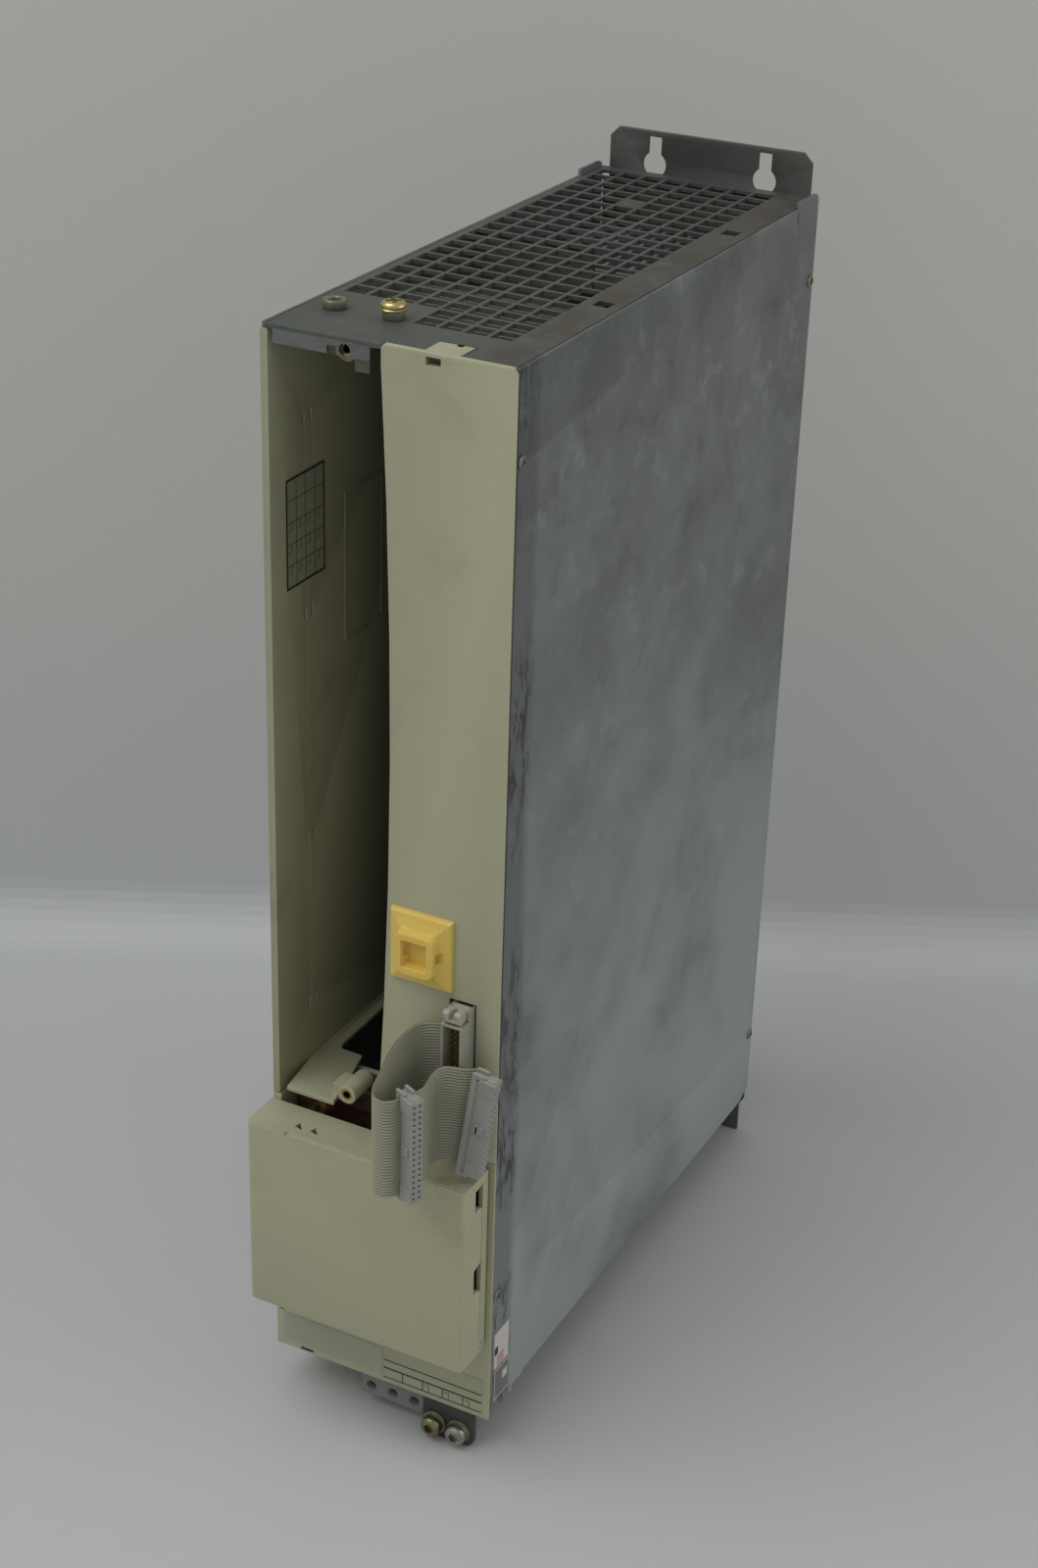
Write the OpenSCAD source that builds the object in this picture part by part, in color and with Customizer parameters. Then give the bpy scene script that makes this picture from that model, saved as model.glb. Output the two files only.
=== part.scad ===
// Servo drive power module for a control cabinet, with an empty slot for its control unit.
// Millimetres. X is across the front, Y runs from the front to the mounting wall, Z is up.

/* [Housing] */
// Width of the metal housing
body_w = 100; // [96:1:124]
// Height of the metal housing
body_h = 443.6; // [370:0.2:540]
// Depth of the metal housing
body_d = 268; // [224:1:330]
// Thickness of the side panels
side_t = 1.2; // [1:0.1:1.5]
// Thickness of the top, base and back plates
plate_t = 1.5; // [1.2:0.1:2]
// Height of the fixing flange above the housing
flange_h = 17.4; // [14:0.1:24]
// Drop of the fixing lug and the earth bracket below the housing
foot_drop = 19; // [16:0.5:24]
// Distance between the two fixing holes
fixing_pitch = 50; // [40:1:60]
// Diameter of the head opening of a keyhole
keyhole_d = 10.6; // [9:0.1:12]
// Width of the screw slot of a keyhole
keyhole_slot = 5.8; // [4.5:0.1:6.5]

/* [Top grille] */
// Width and length of a grille hole
hole_w = 8.5; // [6:0.1:8.8]
// Spacing of the holes across the housing
hole_pitch_x = 10; // [9.5:0.1:12]
// Spacing of the holes along the housing
hole_pitch_y = 10.2; // [9.5:0.1:12]
// Plain margin at the right of the grille
grille_margin = 14.5; // [12:0.5:20]

/* [Plastic front] */
// Thickness of the front panel and the fascia
front_t = 2.5; // [2:0.1:3]
// Width of the control slot
slot_w = 45.4; // [42:0.1:48]
// Depth of the control slot
slot_d = 150; // [130:1:160]
// Height of the slot floor
slot_z = 131; // [128:0.5:140]
// Height of the lower fascia
fascia_h = 37; // [30:0.5:40]
// Sagitta of the bowed inner edge of the front panel
bow = 4.4; // [0:0.1:5]
// Width of the connector window in the front panel
window_w = 11.6; // [11.6:0.1:13]

/* [Link cover] */
// Depth of the cover in front of the fascia
cover_d = 20; // [16:0.5:26]
// Width of the cover
cover_w = 98.4; // [90:0.2:98.4]
// Height of the cover
cover_h = 86.5; // [80:0.5:86.5]
// Wall of the cover
cover_t = 2; // [1.6:0.1:2.4]

/* [Cooling] */
// Side of the square fan
fan_w = 80; // [70:1:80]
// Thickness of the fan
fan_t = 25; // [20:1:32]
// Depth of the heat sink fins
fin_d = 66; // [50:1:70]
// Thickness of a fin
fin_t = 1.6; // [1.2:0.1:2]
// Spacing of the fins
fin_pitch = 5.8; // [5:0.1:8]

/* [Bus cable] */
// Width of the ribbon cable
ribbon_w = 43.2; // [40:0.1:44]
// Thickness of the ribbon cable
ribbon_t = 0.9; // [0.8:0.05:1]
// Length of a ribbon plug
plug_l = 45; // [44:0.5:50]

/* [Hidden] */
$fn = 48;

eps = 0.01;             // overlap of a cut past the face that it opens
gap = 0.3;              // play between neighbouring pieces
half_w = body_w / 2;
in_w = half_w - side_t - gap;          // half width inside the side panels
front_over = 0.4;                      // how far the plastic stands past the side panels
front_w = half_w + front_over;
lip_t = 0.8;                           // plastic lip in front of the side panels
top_z = body_h;
under_top = top_z - plate_t - gap;
rear_in = body_d - plate_t - gap;      // rear limit of the inner pieces

// Control slot
wall_x = -front_w + 3.1;               // inner face of the left slot wall
slot_x = wall_x + slot_w;              // inner edge of the front panel
wall_t = 1.5;
slot_right = slot_x + bow + 0.5;       // inner face of the right slot wall
slot_low = slot_z - 4.5;               // lower edge of the slot walls
slot_top = top_z - 2;
vent_z = top_z - 15.6;
vent_h = 5;
vent_y = [24, 108];
boss_x = wall_x + 31;
boss_r = 4;
boss_low_z = slot_z + 5;
boss_top_z = top_z - 4.4;
boss_top_y = plate_t + gap;
insert_r = 2.4;
insert_bore = 1.65;                    // M4 core
insert_l = 9.9;
screw_hole_r = 2.3;                    // clearance hole of an M4 screw
m5_hole_r = 2.6;
m5_core_r = 2.45;

// Link cover and its hinge
cover_x = -front_w;
cover_z = fascia_h + 0.5;
hinge_y = -4.5;
hinge_z = cover_z + 3.6;
pin_r = 2;
pin_fit = 0.08;
ear_w = 2.4;
strip_x = half_w - 3.3;                // inner edge of the strips beside the cover
recess_d = 32;

// Bus connector on the front panel
header_x = 30.5;
header_w = 9.1;
header_l = 49;
header_z = 165;
window_end = 5.6;                       // window beyond each end of the bus connector
shell_y = -9.5;
pins_n = 17;
pin_pitch = 2.54;
board_y = 4;

// Cooling channel and power stage
fan_y = rear_in - 1 - fan_w;
fan_z = plate_t + 4.8;
sink_base = 8;
sink_y = rear_in - 1 - fin_d - sink_base;
sink_z = [fan_z + fan_t + 3, top_z - 22];
module_t = 17;
module_w = 62;
module_l = 94;
driver_y = sink_y - module_t - 8;
cap_r = 17;
cap_l = 50;
cap_y = driver_y - 8 - cap_l;

// Busbars behind the link cover
bar_y = 8;
bar_t = 3;
bar_h = 11;
bar_z = [cover_z + 41, cover_z + 74];
bar_l = 88;
bar_screws = 34;

// Motor and earth terminals
term_x = [-10.6, 18.4];
term_y = [3, 28];
term_h = 12.2;
wire_pitch = 10.2;
wire_z = -7.7;
earth_x = [19.8, 43.4];
earth_y = [1, 3];
earth_screw_x = [25.2, 36.5];
earth_screw_z = -12;
earth_head_r = 4.6;
earth_washer_r = 5.3;

// Ribbon plugs
plug_w = 5.2;
plug_d = 9;
plug_cover_t = 2.7;

module block(a, b) translate(a) cube(b - a);
module rod_x(y, z, r, x0, x1) translate([x0, y, z]) rotate([0, 90, 0]) cylinder(r = r, h = x1 - x0);
module rod_y(x, z, r, y0, y1) translate([x, y1, z]) rotate([90, 0, 0]) cylinder(r = r, h = y1 - y0);
module rod_z(x, y, r, z0, z1) translate([x, y, z0]) cylinder(r = r, h = z1 - z0);
// A profile in X and Z, extruded along Y
module along_y(y0, y1) translate([0, y1, 0]) rotate([90, 0, 0]) linear_extrude(y1 - y0) children();
// A profile in Y and Z, extruded along X
module along_x(x0, x1) translate([x0, 0, 0]) rotate([90, 0, 90]) linear_extrude(x1 - x0) children();
module both_sides() {
    children();
    mirror([1, 0, 0]) children();
}
// The housing's rear face is the wall and its feet are the floor.
module placed() translate([0, (cover_d - body_d) / 2, foot_drop]) children();

// ---- Sheet metal housing ----

keyhole_up = 3.4;                      // centre of the head opening above the top plate
keyhole_edge = 2.4;                    // metal left above the screw slot
wall_slot_up = 6;                      // height of the lower wall screw over the foot
wall_slot_w = keyhole_slot + 0.6;

module keyhole(x) {
    translate([x, top_z + keyhole_up]) circle(d = keyhole_d);
    translate([x - keyhole_slot / 2, top_z + keyhole_up])
        square([keyhole_slot, flange_h - keyhole_up - keyhole_edge]);
}

module back_outline() {
    lug = half_w - 3.8;
    flange = half_w - 4.2;
    corner = 4;
    relief = 5.5;
    polygon([[-lug, -foot_drop], [lug, -foot_drop], [lug, -corner], [in_w, 0], [in_w, top_z - relief],
        [flange, top_z - relief], [flange, top_z + flange_h - corner],
        [flange - corner, top_z + flange_h], [corner - flange, top_z + flange_h],
        [-flange, top_z + flange_h - corner], [-flange, top_z - relief],
        [-in_w, top_z - relief], [-in_w, 0], [-lug, -corner]]);
}

module back_plate() color("#6f7573") along_y(body_d - plate_t, body_d) difference() {
    back_outline();
    for (x = [-1, 1] * fixing_pitch / 2) {
        keyhole(x);
        // Open slot over the lower wall screw
        translate([x, wall_slot_up - foot_drop]) circle(d = wall_slot_w);
        translate([x - wall_slot_w / 2, -foot_drop - eps]) square([wall_slot_w, wall_slot_up + eps]);
    }
}

grille_right = half_w - grille_margin - hole_w / 2 - 2.15;   // centre of the last column
columns = floor((grille_right + in_w - 3) / hole_pitch_x - hole_w / 2 / hole_pitch_x) + 1;
first_row = 31.4;
rows = floor((body_d - 10 - first_row) / hole_pitch_y) + 1;
short_columns = columns - 4;
clip_x = [13, 26.9];
clip_y = 14.3;
clip_holes = [80, body_d - 75];

module grille_holes() for (i = [0:columns - 1], j = [0:rows - 1]) {
    under_spacers = i < short_columns && j < 2;
    closed = i == short_columns - 1 && j == rows - 5;
    if (!under_spacers && !closed)
        translate([grille_right - (columns - 1 - i) * hole_pitch_x - hole_w / 2,
            first_row + j * hole_pitch_y - hole_w / 2]) square(hole_w);
}

module top_outline() {
    difference() {
        polygon([[-in_w + 0.2, 0], [slot_x - gap, 0], [slot_x - gap, front_t + gap],
            [in_w - 0.2, front_t + gap], [in_w - 0.2, rear_in], [-in_w + 0.2, rear_in]]);
        grille_holes();
        for (y = clip_holes) translate([half_w - 12.2, y]) square(6.5);
        translate([clip_x[0] - 0.6, 0]) square([clip_x[1] - clip_x[0] + 1.2, clip_y + 0.6]);
        for (x = spacer_x) translate([x, spacer_y]) circle(r = 2.2);
    }
}

spacer_x = [-half_w + 12.9, -half_w + 36.8];
spacer_y = 28;
lip = [-half_w + 4.8, slot_x - 4.4];
lip_h = 6.6;

module top_grille() color("#5d6162") {
    translate([0, 0, top_z - plate_t]) linear_extrude(plate_t) top_outline();
}

// Bent strip under the front edge of the top plate, with a notch and the hole of the control unit's screw
module front_lip() color("#5d6162") difference() {
    block([lip[0], 0, top_z - lip_h], [lip[1], plate_t, top_z - plate_t - 0.05]);
    block([boss_x - 7, -eps, top_z - lip_h - 1], [boss_x - 3.4, plate_t + eps, top_z - lip_h + 3]);
    rod_y(boss_x, boss_top_z, screw_hole_r, -eps, plate_t + eps);
}

module base_plate() color("#6a6f70") difference() {
    block([-in_w, recess_d + 2 + gap, fan_z - plate_t - gap], [in_w, rear_in, fan_z - gap]);
    rod_z(0, fan_y + fan_w / 2, fan_w / 2 - 2, 0, fan_z);
    fan_corners(0, fan_z + 1) circle(r = screw_hole_r);
    for (x = [-3:3], y = [0:8]) translate([x * 12 - 2.5, 40 + y * 14, 0]) cube([5, 9, fan_z]);
}

module side_outline() {
    tab = 23;
    r = 4;
    difference() {
        union() {
            polygon([[lip_t + gap, 0.3], [21, 0.3], [21, 4], [body_d - 11, 4], [rear_in, 8],
                [rear_in, top_z - r], [rear_in - r, top_z + 2.6], [body_d - tab, top_z + 2.6],
                [body_d - tab, top_z], [lip_t + gap, top_z]]);
            translate([rear_in - r, top_z + 2.6 - r]) circle(r = r);
        }
        // Bend relief at the foot of the rear tab
        translate([body_d - tab - 1.2, top_z - 6]) square([1.2, 7]);
    }
}

screw_places = [[5.1, top_z - 33.4], [body_d - 5, top_z - 34], [5.1, 60], [body_d - 5, 40]];

module side_panel() difference() {
    along_x(half_w - side_t, half_w) side_outline();
    for (p = screw_places) rod_x(p[0], p[1], 1.6, half_w - 2, half_w + 1);
}
module side_panel_right() color("#7c8387") side_panel();
module side_panel_left() color("#7c8387") mirror([1, 0, 0]) side_panel();

module side_screws() color("#b9b9a8") both_sides() for (p = screw_places) difference() {
    union() {
        rod_x(p[0], p[1], 2.6, half_w, half_w + 0.9);
        rod_x(p[0], p[1], 1.45, half_w - side_t - 0.2, half_w);
    }
    translate([half_w + 0.5, p[0] - 1.8, p[1] - 0.3]) cube([1, 3.6, 0.6]);
    translate([half_w + 0.5, p[0] - 0.3, p[1] - 1.8]) cube([1, 0.6, 3.6]);
}

// ---- Moulded plastic front ----

beige = "#b9b59c";
guide_slots = [25.4, 100.2, 195.5, 271.6];

module slot_housing() color(beige) {
    difference() {
        union() {
            block([-front_w, 0, slot_low], [wall_x, lip_t, slot_top]);
            block([-in_w, lip_t, slot_low], [wall_x, slot_d, slot_top]);
        }
        for (z = guide_slots, y = [22.2, 27.2])
            translate([-in_w - 1, y, slot_z + z - 2.6]) cube([in_w + 1 + wall_x + 1, 1.2, 5.2]);
    }
    // Guide rail along the foot of the wall
    block([wall_x, 24, slot_z - 3], [wall_x + 2.6, slot_d, slot_z - 0.6]);
    block([slot_right, front_t, slot_low], [slot_right + wall_t, slot_d, vent_z - gap]);
    difference() {
        block([-in_w, slot_d, slot_low], [slot_right + wall_t, slot_d + wall_t, slot_top]);
        for (z = connector_z) translate([connector_x, slot_d - 1, z])
            cube([12, wall_t + 2, connector_l]);
    }
}

connector_x = wall_x + 16;
connector_l = 88;
connector_z = [slot_z + 24, top_z - 44 - connector_l];

module slot_floor() color(beige) {
    x = wall_x;
    difference() {
        union() {
            translate([0, 0, slot_z - 2]) linear_extrude(2)
                polygon([[x + 3.4, 0], [x + 25, 0], [x + 21.8, 17], [x + 17.8, 34], [x + 7.8, 34.4],
                    [x + 6.2, 38.2], [x + 6.2, slot_d - 0.2], [x + 2.8, slot_d - 0.2],
                    [x + 2.8, 24], [x + 0.2, 23.6]]);
            rod_y(boss_x, boss_low_z, boss_r, 0, 14);
            block([x + 22, 5, slot_z - 2], [boss_x, 14, boss_low_z]);
        }
        rod_y(boss_x, boss_low_z, insert_r + 0.05, -eps, 11);
    }
}

module insert(y, z) difference() {
    rod_y(boss_x, z, insert_r, y, y + insert_l);
    rod_y(boss_x, z, insert_bore, y - 1, y + insert_l + 1);
}
module slot_inserts() color("#b08d3c") {
    insert(0.1, boss_low_z);
    insert(boss_top_y + 0.1, boss_top_z);
}

slats = floor((vent_y[1] - vent_y[0] - 9) / 3.4);

module slot_vent() color("#a8a488") {
    x0 = wall_x + gap;
    x1 = in_w - 3;
    difference() {
        block([x0, vent_y[0], vent_z], [x1, vent_y[1], vent_z + vent_h]);
        for (i = [0:slats]) block([x0 + 2.5, vent_y[0] + 3 + i * 3.4, vent_z - 1],
            [-2, vent_y[0] + 5 + i * 3.4, vent_z + vent_h + 1]);
        for (i = [0:slats]) block([1, vent_y[0] + 3 + i * 3.4, vent_z - 1],
            [x1 - 2.5, vent_y[0] + 5 + i * 3.4, vent_z + vent_h + 1]);
    }
    // Upper fixing boss of the control unit, cut flat under the top plate
    difference() {
        union() {
            intersection() {
                rod_y(boss_x, boss_top_z, boss_r + 0.4, boss_top_y, 20);
                block([boss_x - 5, 0, boss_top_z - 5], [boss_x + 5, 20, under_top]);
            }
            block([boss_x - 3, 12, vent_z], [boss_x + 3, vent_y[0], boss_top_z - 2.5]);
        }
        rod_y(boss_x, boss_top_z, insert_r + 0.05, 0, boss_top_y + insert_l + 1);
    }
}

module slot_connectors() color("#c9c3a6") for (z = connector_z) difference() {
    block([connector_x + 0.3, slot_d - 9, z + 0.3],
        [connector_x + 11.7, slot_d + wall_t + 2, z + connector_l - 0.3]);
    for (x = [3, 9]) block([connector_x + x - 1, slot_d - 10, z + 5],
        [connector_x + x + 1, slot_d - 2, z + connector_l - 5]);
}

panel_z = [slot_low, top_z + 0.4];
bow_z = slot_z + 4;
bow_h = top_z - 7 - bow_z;
bow_r = (bow_h * bow_h / 4 + bow * bow) / (2 * max(bow, 0.01));

// Room for the edge of the right side panel behind the lip
module rebate(z0, z1) block([in_w, lip_t, z0 - 1], [front_w + 1, front_t + eps, z1 + 1]);

module front_panel() color(beige) {
    window = [header_x - 1.6, header_x - 1.6 + window_w];
    difference() {
        along_y(0, front_t) polygon([[slot_x, panel_z[0]], [front_w, panel_z[0]],
            [front_w, panel_z[1] - 1.5], [front_w - 1.5, panel_z[1]], [slot_x + 1, panel_z[1]],
            [slot_x, panel_z[1] - 1]]);
        translate([slot_x + bow - bow_r, front_t + eps, bow_z + bow_h / 2]) rotate([90, 0, 0])
            cylinder(r = bow_r, h = front_t + 2 * eps, $fn = 360);
        rebate(panel_z[0], panel_z[1]);
        block([window[0], -eps, header_ends[0] - window_end],
            [window[1], front_t + eps, header_ends[1] + window_end]);
        block([clip_x[0] + 2.4, -eps, top_z - 4], [clip_x[1] - 5.7, front_t + eps, top_z - 1]);
    }
    // Snap clip over the top plate
    difference() {
        block([clip_x[0], front_t, top_z - 2], [clip_x[1], clip_y, top_z]);
        block([20, clip_y - 1.8, top_z - 3], [22.6, clip_y + 1, top_z + 1]);
    }
    // Stiffening return behind the right edge
    block([in_w - 1.5, front_t, panel_z[0]], [in_w, 18, vent_z - 1]);
}

module lower_housing() color(beige) difference() {
    union() {
        block([-front_w, 0, 0], [front_w, front_t, fascia_h]);
        block([-in_w, front_t, 0], [in_w, recess_d + 2, 2.5]);
        for (s = [-1, 1]) {
            block([min(s * strip_x, s * front_w), 0, fascia_h],
                [max(s * strip_x, s * front_w), front_t, slot_low - 0.3]);
            block([min(s * in_w, s * (in_w - 1.5)), front_t, 2.5],
                [max(s * in_w, s * (in_w - 1.5)), recess_d + 2, slot_low - 0.3]);
        }
        block([-in_w, recess_d, 24], [in_w, recess_d + 2, slot_low - 0.3]);
        // Hinge ears with their pins
        for (e = hinge_ears) {
            block([e[0], 0, fascia_h], [e[0] + ear_w, front_t, hinge_z + 3]);
            block([e[0], hinge_y, fascia_h + 1.1], [e[0] + ear_w, front_t, hinge_z + 3]);
            rod_x(hinge_y, hinge_z, 3, e[0], e[0] + ear_w);
            rod_x(hinge_y, hinge_z, pin_r, min(e[0], e[1]), max(e[0] + ear_w, e[1]));
        }
    }
    both_sides() rebate(0, slot_low);
    block([-half_w + 11, -eps, 0.6], [-half_w + 17.1, front_t - 1, 1.9]);
    block([-half_w + 0.8, -eps, 17.8], [-half_w + 3, front_t - 1, 20]);
    // Way for the motor wires
    for (i = [-1:1]) rod_z(term_mid + i * wire_pitch, 12, 3, -eps, 2.6);
}

cover_right = cover_x + cover_w;
hinge_ears = [[cover_x + cover_t + 0.4, cover_x + 0.4],
    [cover_right - cover_t - 0.4 - ear_w, cover_right - 0.4]];

module cover_profile() {
    rear = -0.9;
    r = rear - hinge_y;
    polygon([[-cover_d, cover_z], [hinge_y, cover_z], [hinge_y, hinge_z], [rear, hinge_z],
        [rear, cover_z + cover_h], [-cover_d, cover_z + cover_h]]);
    translate([hinge_y, hinge_z]) circle(r = r);
}

module dc_link_cover() color(beige) {
    z1 = cover_z + cover_h;
    r = 2;
    difference() {
        intersection() {
            along_x(cover_x, cover_right) cover_profile();
            translate([0, 0, cover_z - 1]) linear_extrude(cover_h + 2) union() {
                polygon([[cover_x, r - cover_d], [cover_x + r, -cover_d], [cover_right - r, -cover_d],
                    [cover_right, r - cover_d], [cover_right, 1], [cover_x, 1]]);
                for (x = [cover_x + r, cover_right - r]) translate([x, r - cover_d]) circle(r = r);
            }
        }
        block([cover_x + cover_t, cover_t - cover_d, cover_z + cover_t],
            [cover_right - cover_t, 1, z1 - cover_t]);
        block([cover_x + cover_t, -8.5, cover_z - 1], [cover_right - cover_t, 1, z1 - cover_t]);
        rod_x(hinge_y, hinge_z, pin_r + pin_fit, cover_x - 1, cover_right + 1);
        // Windows for the links to the neighbouring drive
        for (x = [cover_x - 1, cover_right - cover_t - 1]) {
            along_x(x, x + cover_t + 2) polygon([[-11, z1 - 14.8], [-9, z1 - 14], [-5, z1 - 15.4],
                [-5, z1 - 4], [-11, z1 - 4.6]]);
            along_x(x, x + cover_t + 2) polygon([[-11, z1 - 54.6], [-9.4, z1 - 53.6], [-5, z1 - 55.6],
                [-5, z1 - 41], [-11, z1 - 42.4]]);
        }
        // Groove of the snap edge between the windows
        for (x = [cover_x - 0.5, cover_right - 0.5], z = [[z1 - 84, z1 - 55], [z1 - 41.5, z1 - 15]])
            block([x, -5.5, z[0]], [x + 1, -5, z[1]]);
        // Latch notches in the top
        for (x = [cover_x + 18.4, cover_x + 25.5]) translate([x, -14.4, z1 - cover_t - 1])
            linear_extrude(cover_t + 2) polygon([[0, 1], [4, 0], [0.8, 4]]);
        block([cover_x + 17.8, -cover_d - 1, z1 - 0.8], [cover_x + 19.6, -cover_d + 1.6, z1 + 1]);
    }
    // Bead along the front of the top
    block([cover_x + 19.6, 0.6 - cover_d, z1 - 0.5], [cover_right - 6, 2 - cover_d, z1 + 0.7]);
}

// ---- Labels ----

module rating_label() color("#cfcab0") difference() {
    block([1, -0.2, 0.4], [half_w - 2.4, 0, 19.4]);
    // Ruled table of the rating fields
    line = 0.15;
    rows = [2.8, 7.65, 11.7];
    for (z = rows) block([1.3, -1, z - line], [half_w - 2.8, -0.1, z + line]);
    for (i = [0:3]) block([10.3 + i * 9.42 - line, -1, rows[0]], [10.3 + i * 9.42 + line, -0.1, rows[1]]);
}
module switch_label() color("#9a9a8c")
    block([wall_x, 10.7, slot_z + 209.2], [wall_x + 0.2, 36.2, slot_z + 251.2]);
module side_label() color("#e4dcd6") {
    block([half_w, 4.2, 22.5], [half_w + 0.2, 16.4, 40.2]);
    block([half_w, 5, 6], [half_w + 0.2, 16.8, 21]);
}

// ---- Cooling ----

fins = floor((2 * in_w - 8 - fin_t) / fin_pitch);

module heat_sink() color("#8d9192") {
    w = fins * fin_pitch + fin_t;
    difference() {
        block([-w / 2, sink_y, sink_z[0]], [w / 2, sink_y + sink_base, sink_z[1]]);
        for (b = module_bolts) rod_y(b[0], b[1], m5_core_r, sink_y - 1, sink_y + 5.2);
    }
    for (i = [0:fins]) block([i * fin_pitch - w / 2, sink_y + sink_base, sink_z[0]],
        [i * fin_pitch - w / 2 + fin_t, sink_y + sink_base + fin_d, sink_z[1]]);
}

corner_in = 4.3;                       // fan screws from the sides of the fan
corner_r = (fan_w / 2 - corner_in) * sqrt(2);
module fan_corners(z0, z1) for (x = [-1, 1], y = [-1, 1])
    translate([x * (fan_w / 2 - corner_in), fan_y + fan_w / 2 + y * (fan_w / 2 - corner_in), z0])
        linear_extrude(z1 - z0) children();

module fan_frame() color("#2b2c2e") {
    c = fan_y + fan_w / 2;
    difference() {
        block([-fan_w / 2, fan_y, fan_z], [fan_w / 2, fan_y + fan_w, fan_z + fan_t]);
        rod_z(0, c, fan_w / 2 - 2, fan_z - 1, fan_z + fan_t + 1);
        fan_corners(fan_z - 1, fan_z + fan_t + 1) circle(r = 2.2);
    }
    // Motor mount on four struts at the outlet side
    rod_z(0, c, 15, fan_z + fan_t - 3, fan_z + fan_t);
    rod_z(0, c, 2, fan_z + 5, fan_z + fan_t - 3);
    for (a = [45:90:315]) translate([0, c, fan_z + fan_t - 3]) rotate([0, 0, a])
        translate([14, -2, 0]) cube([fan_w / 2 - 15, 4, 3]);
}

module fan_rotor() color("#1d1e20") translate([0, fan_y + fan_w / 2, fan_z + 3]) {
    h = fan_t - 7;
    difference() {
        cylinder(r = 17, h = h);
        translate([0, 0, 1.8]) cylinder(r = 2.1, h = h);
        translate([0, 0, 2.5]) difference() {
            cylinder(r = 15, h = h);
            cylinder(r = 6, h = h);
        }
    }
    for (a = [0:360 / 7:359]) rotate([0, 0, a]) translate([16, 0, h / 2]) rotate([50, 0, 0])
        translate([0, -10, -0.7]) cube([fan_w / 2 - 2 - 16.6 - 2.4, 20, 1.4]);
}

guard_h = 2.2;
guard_z = fan_z - plate_t - gap - guard_h;   // the guard lies against the base plate

module fan_guard() color("#a9abac") difference() {
    c = fan_y + fan_w / 2;
    union() {
        for (r = [12:9:fan_w / 2 - 1]) translate([0, c, guard_z]) difference() {
            cylinder(r = r, h = 1.4);
            translate([0, 0, -1]) cylinder(r = r - 1.4, h = 4);
        }
        rod_z(0, c, 5, guard_z + 0.2, guard_z + 1.2);
        for (a = [45, 135]) translate([0, c, guard_z + 0.7]) rotate([0, 0, a])
            translate([-corner_r, -0.8, 0]) cube([2 * corner_r, 1.6, guard_h - 1]);
        fan_corners(guard_z, guard_z + guard_h) circle(r = 4.2);
    }
    fan_corners(guard_z - 1, guard_z + guard_h + 1) circle(r = screw_hole_r);
}

module fan_screws() color("#c7c7bd") difference() {
    union() {
        fan_corners(guard_z - 1.9, guard_z) circle(r = 3.8);
        fan_corners(guard_z, fan_z + fan_t - 2) circle(r = 2);
    }
    fan_corners(guard_z - 2, guard_z - 1) circle(r = 1.8, $fn = 6);
}

// ---- Power stage ----

module_gap = (sink_z[1] - sink_z[0] - 3 * module_l) / 4;
module_z = [for (i = [0:2]) sink_z[0] + module_gap + i * (module_l + module_gap)];
module_bolts = [for (z = module_z, x = [-1, 1], dz = [6, module_l - 6]) [x * (module_w / 2 - 6), z + dz]];

module power_modules() color("#3a3c40") difference() {
    for (z = module_z) {
        block([-module_w / 2, sink_y - module_t, z + 12], [module_w / 2, sink_y, z + module_l - 12]);
        block([-module_w / 2, sink_y - 8, z], [module_w / 2, sink_y, z + module_l]);
        for (i = [-1:1]) block([i * 19 - 6, sink_y - module_t - 2, z + 40],
            [i * 19 + 6, sink_y - module_t, z + 54]);
    }
    for (b = module_bolts) rod_y(b[0], b[1], m5_hole_r, sink_y - 20, sink_y + 1);
}

module module_screws() color("#c3c3b4") difference() {
    for (b = module_bolts) {
        rod_y(b[0], b[1], 4.2, sink_y - 11.5, sink_y - 8);
        rod_y(b[0], b[1], 2.4, sink_y - 8, sink_y + 5);
    }
    for (b = module_bolts) translate([b[0], sink_y - 9.5, b[1]]) rotate([90, 0, 0])
        cylinder(r = 2.2, h = 4, $fn = 6);
}

board_t = 1.6;
driver_z = [60, top_z - 30];

module driver_board() color("#3d6b46") difference() {
    union() {
        block([-in_w + 4, driver_y, driver_z[0]], [in_w - 4, driver_y + board_t, driver_z[1]]);
        // Relays and pulse transformers on the front of the board
        for (z = [driver_z[0] + 14:44:driver_z[1] - 40], x = [-40, -20, 26])
            block([x, driver_y - 6, z], [x + 14, driver_y, z + 20]);
    }
    for (x = [-1, 1], z = [driver_z[0] + 5, driver_z[1] - 5])
        rod_y(x * (in_w - 8), z, 1.7, driver_y - 1, driver_y + board_t + 1);
}

cap_x = (slot_right + wall_t + in_w) / 2;
cap_low = slot_low + cap_r + 4;
caps = floor((vent_z - 8 - cap_r - cap_low) / (2 * cap_r + 3));

module capacitors() color("#2c3242") for (i = [0:caps]) difference() {
    z = cap_low + i * (2 * cap_r + 3);
    rod_y(cap_x, z, cap_r, cap_y, cap_y + cap_l);
    rod_y(cap_x, z, cap_r - 2, cap_y - 1, cap_y + 0.8);
}

module capacitor_board() color("#3d6b46") difference() {
    block([slot_right + wall_t + 1, cap_y + cap_l, slot_low + 2],
        [in_w - 1, cap_y + cap_l + board_t, vent_z - 3]);
    for (z = [slot_low + 6, vent_z - 7]) rod_y(in_w - 5, z, 1.7, cap_y, cap_y + cap_l + 5);
}

module bus_board() color("#3d6b46") difference() {
    x0 = slot_right + wall_t + 1;
    union() {
        block([x0, board_y, header_z - 38], [in_w - 2.5, board_y + board_t, header_z + 90]);
        for (z = [header_z + 38:18:header_z + 74]) block([x0 + 6, board_y + board_t, z],
            [x0 + 26, board_y + board_t + 4, z + 9]);
    }
    for (i = pin_rows, p = pin_places) pin_hole(p, i, 0.4);
}

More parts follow.
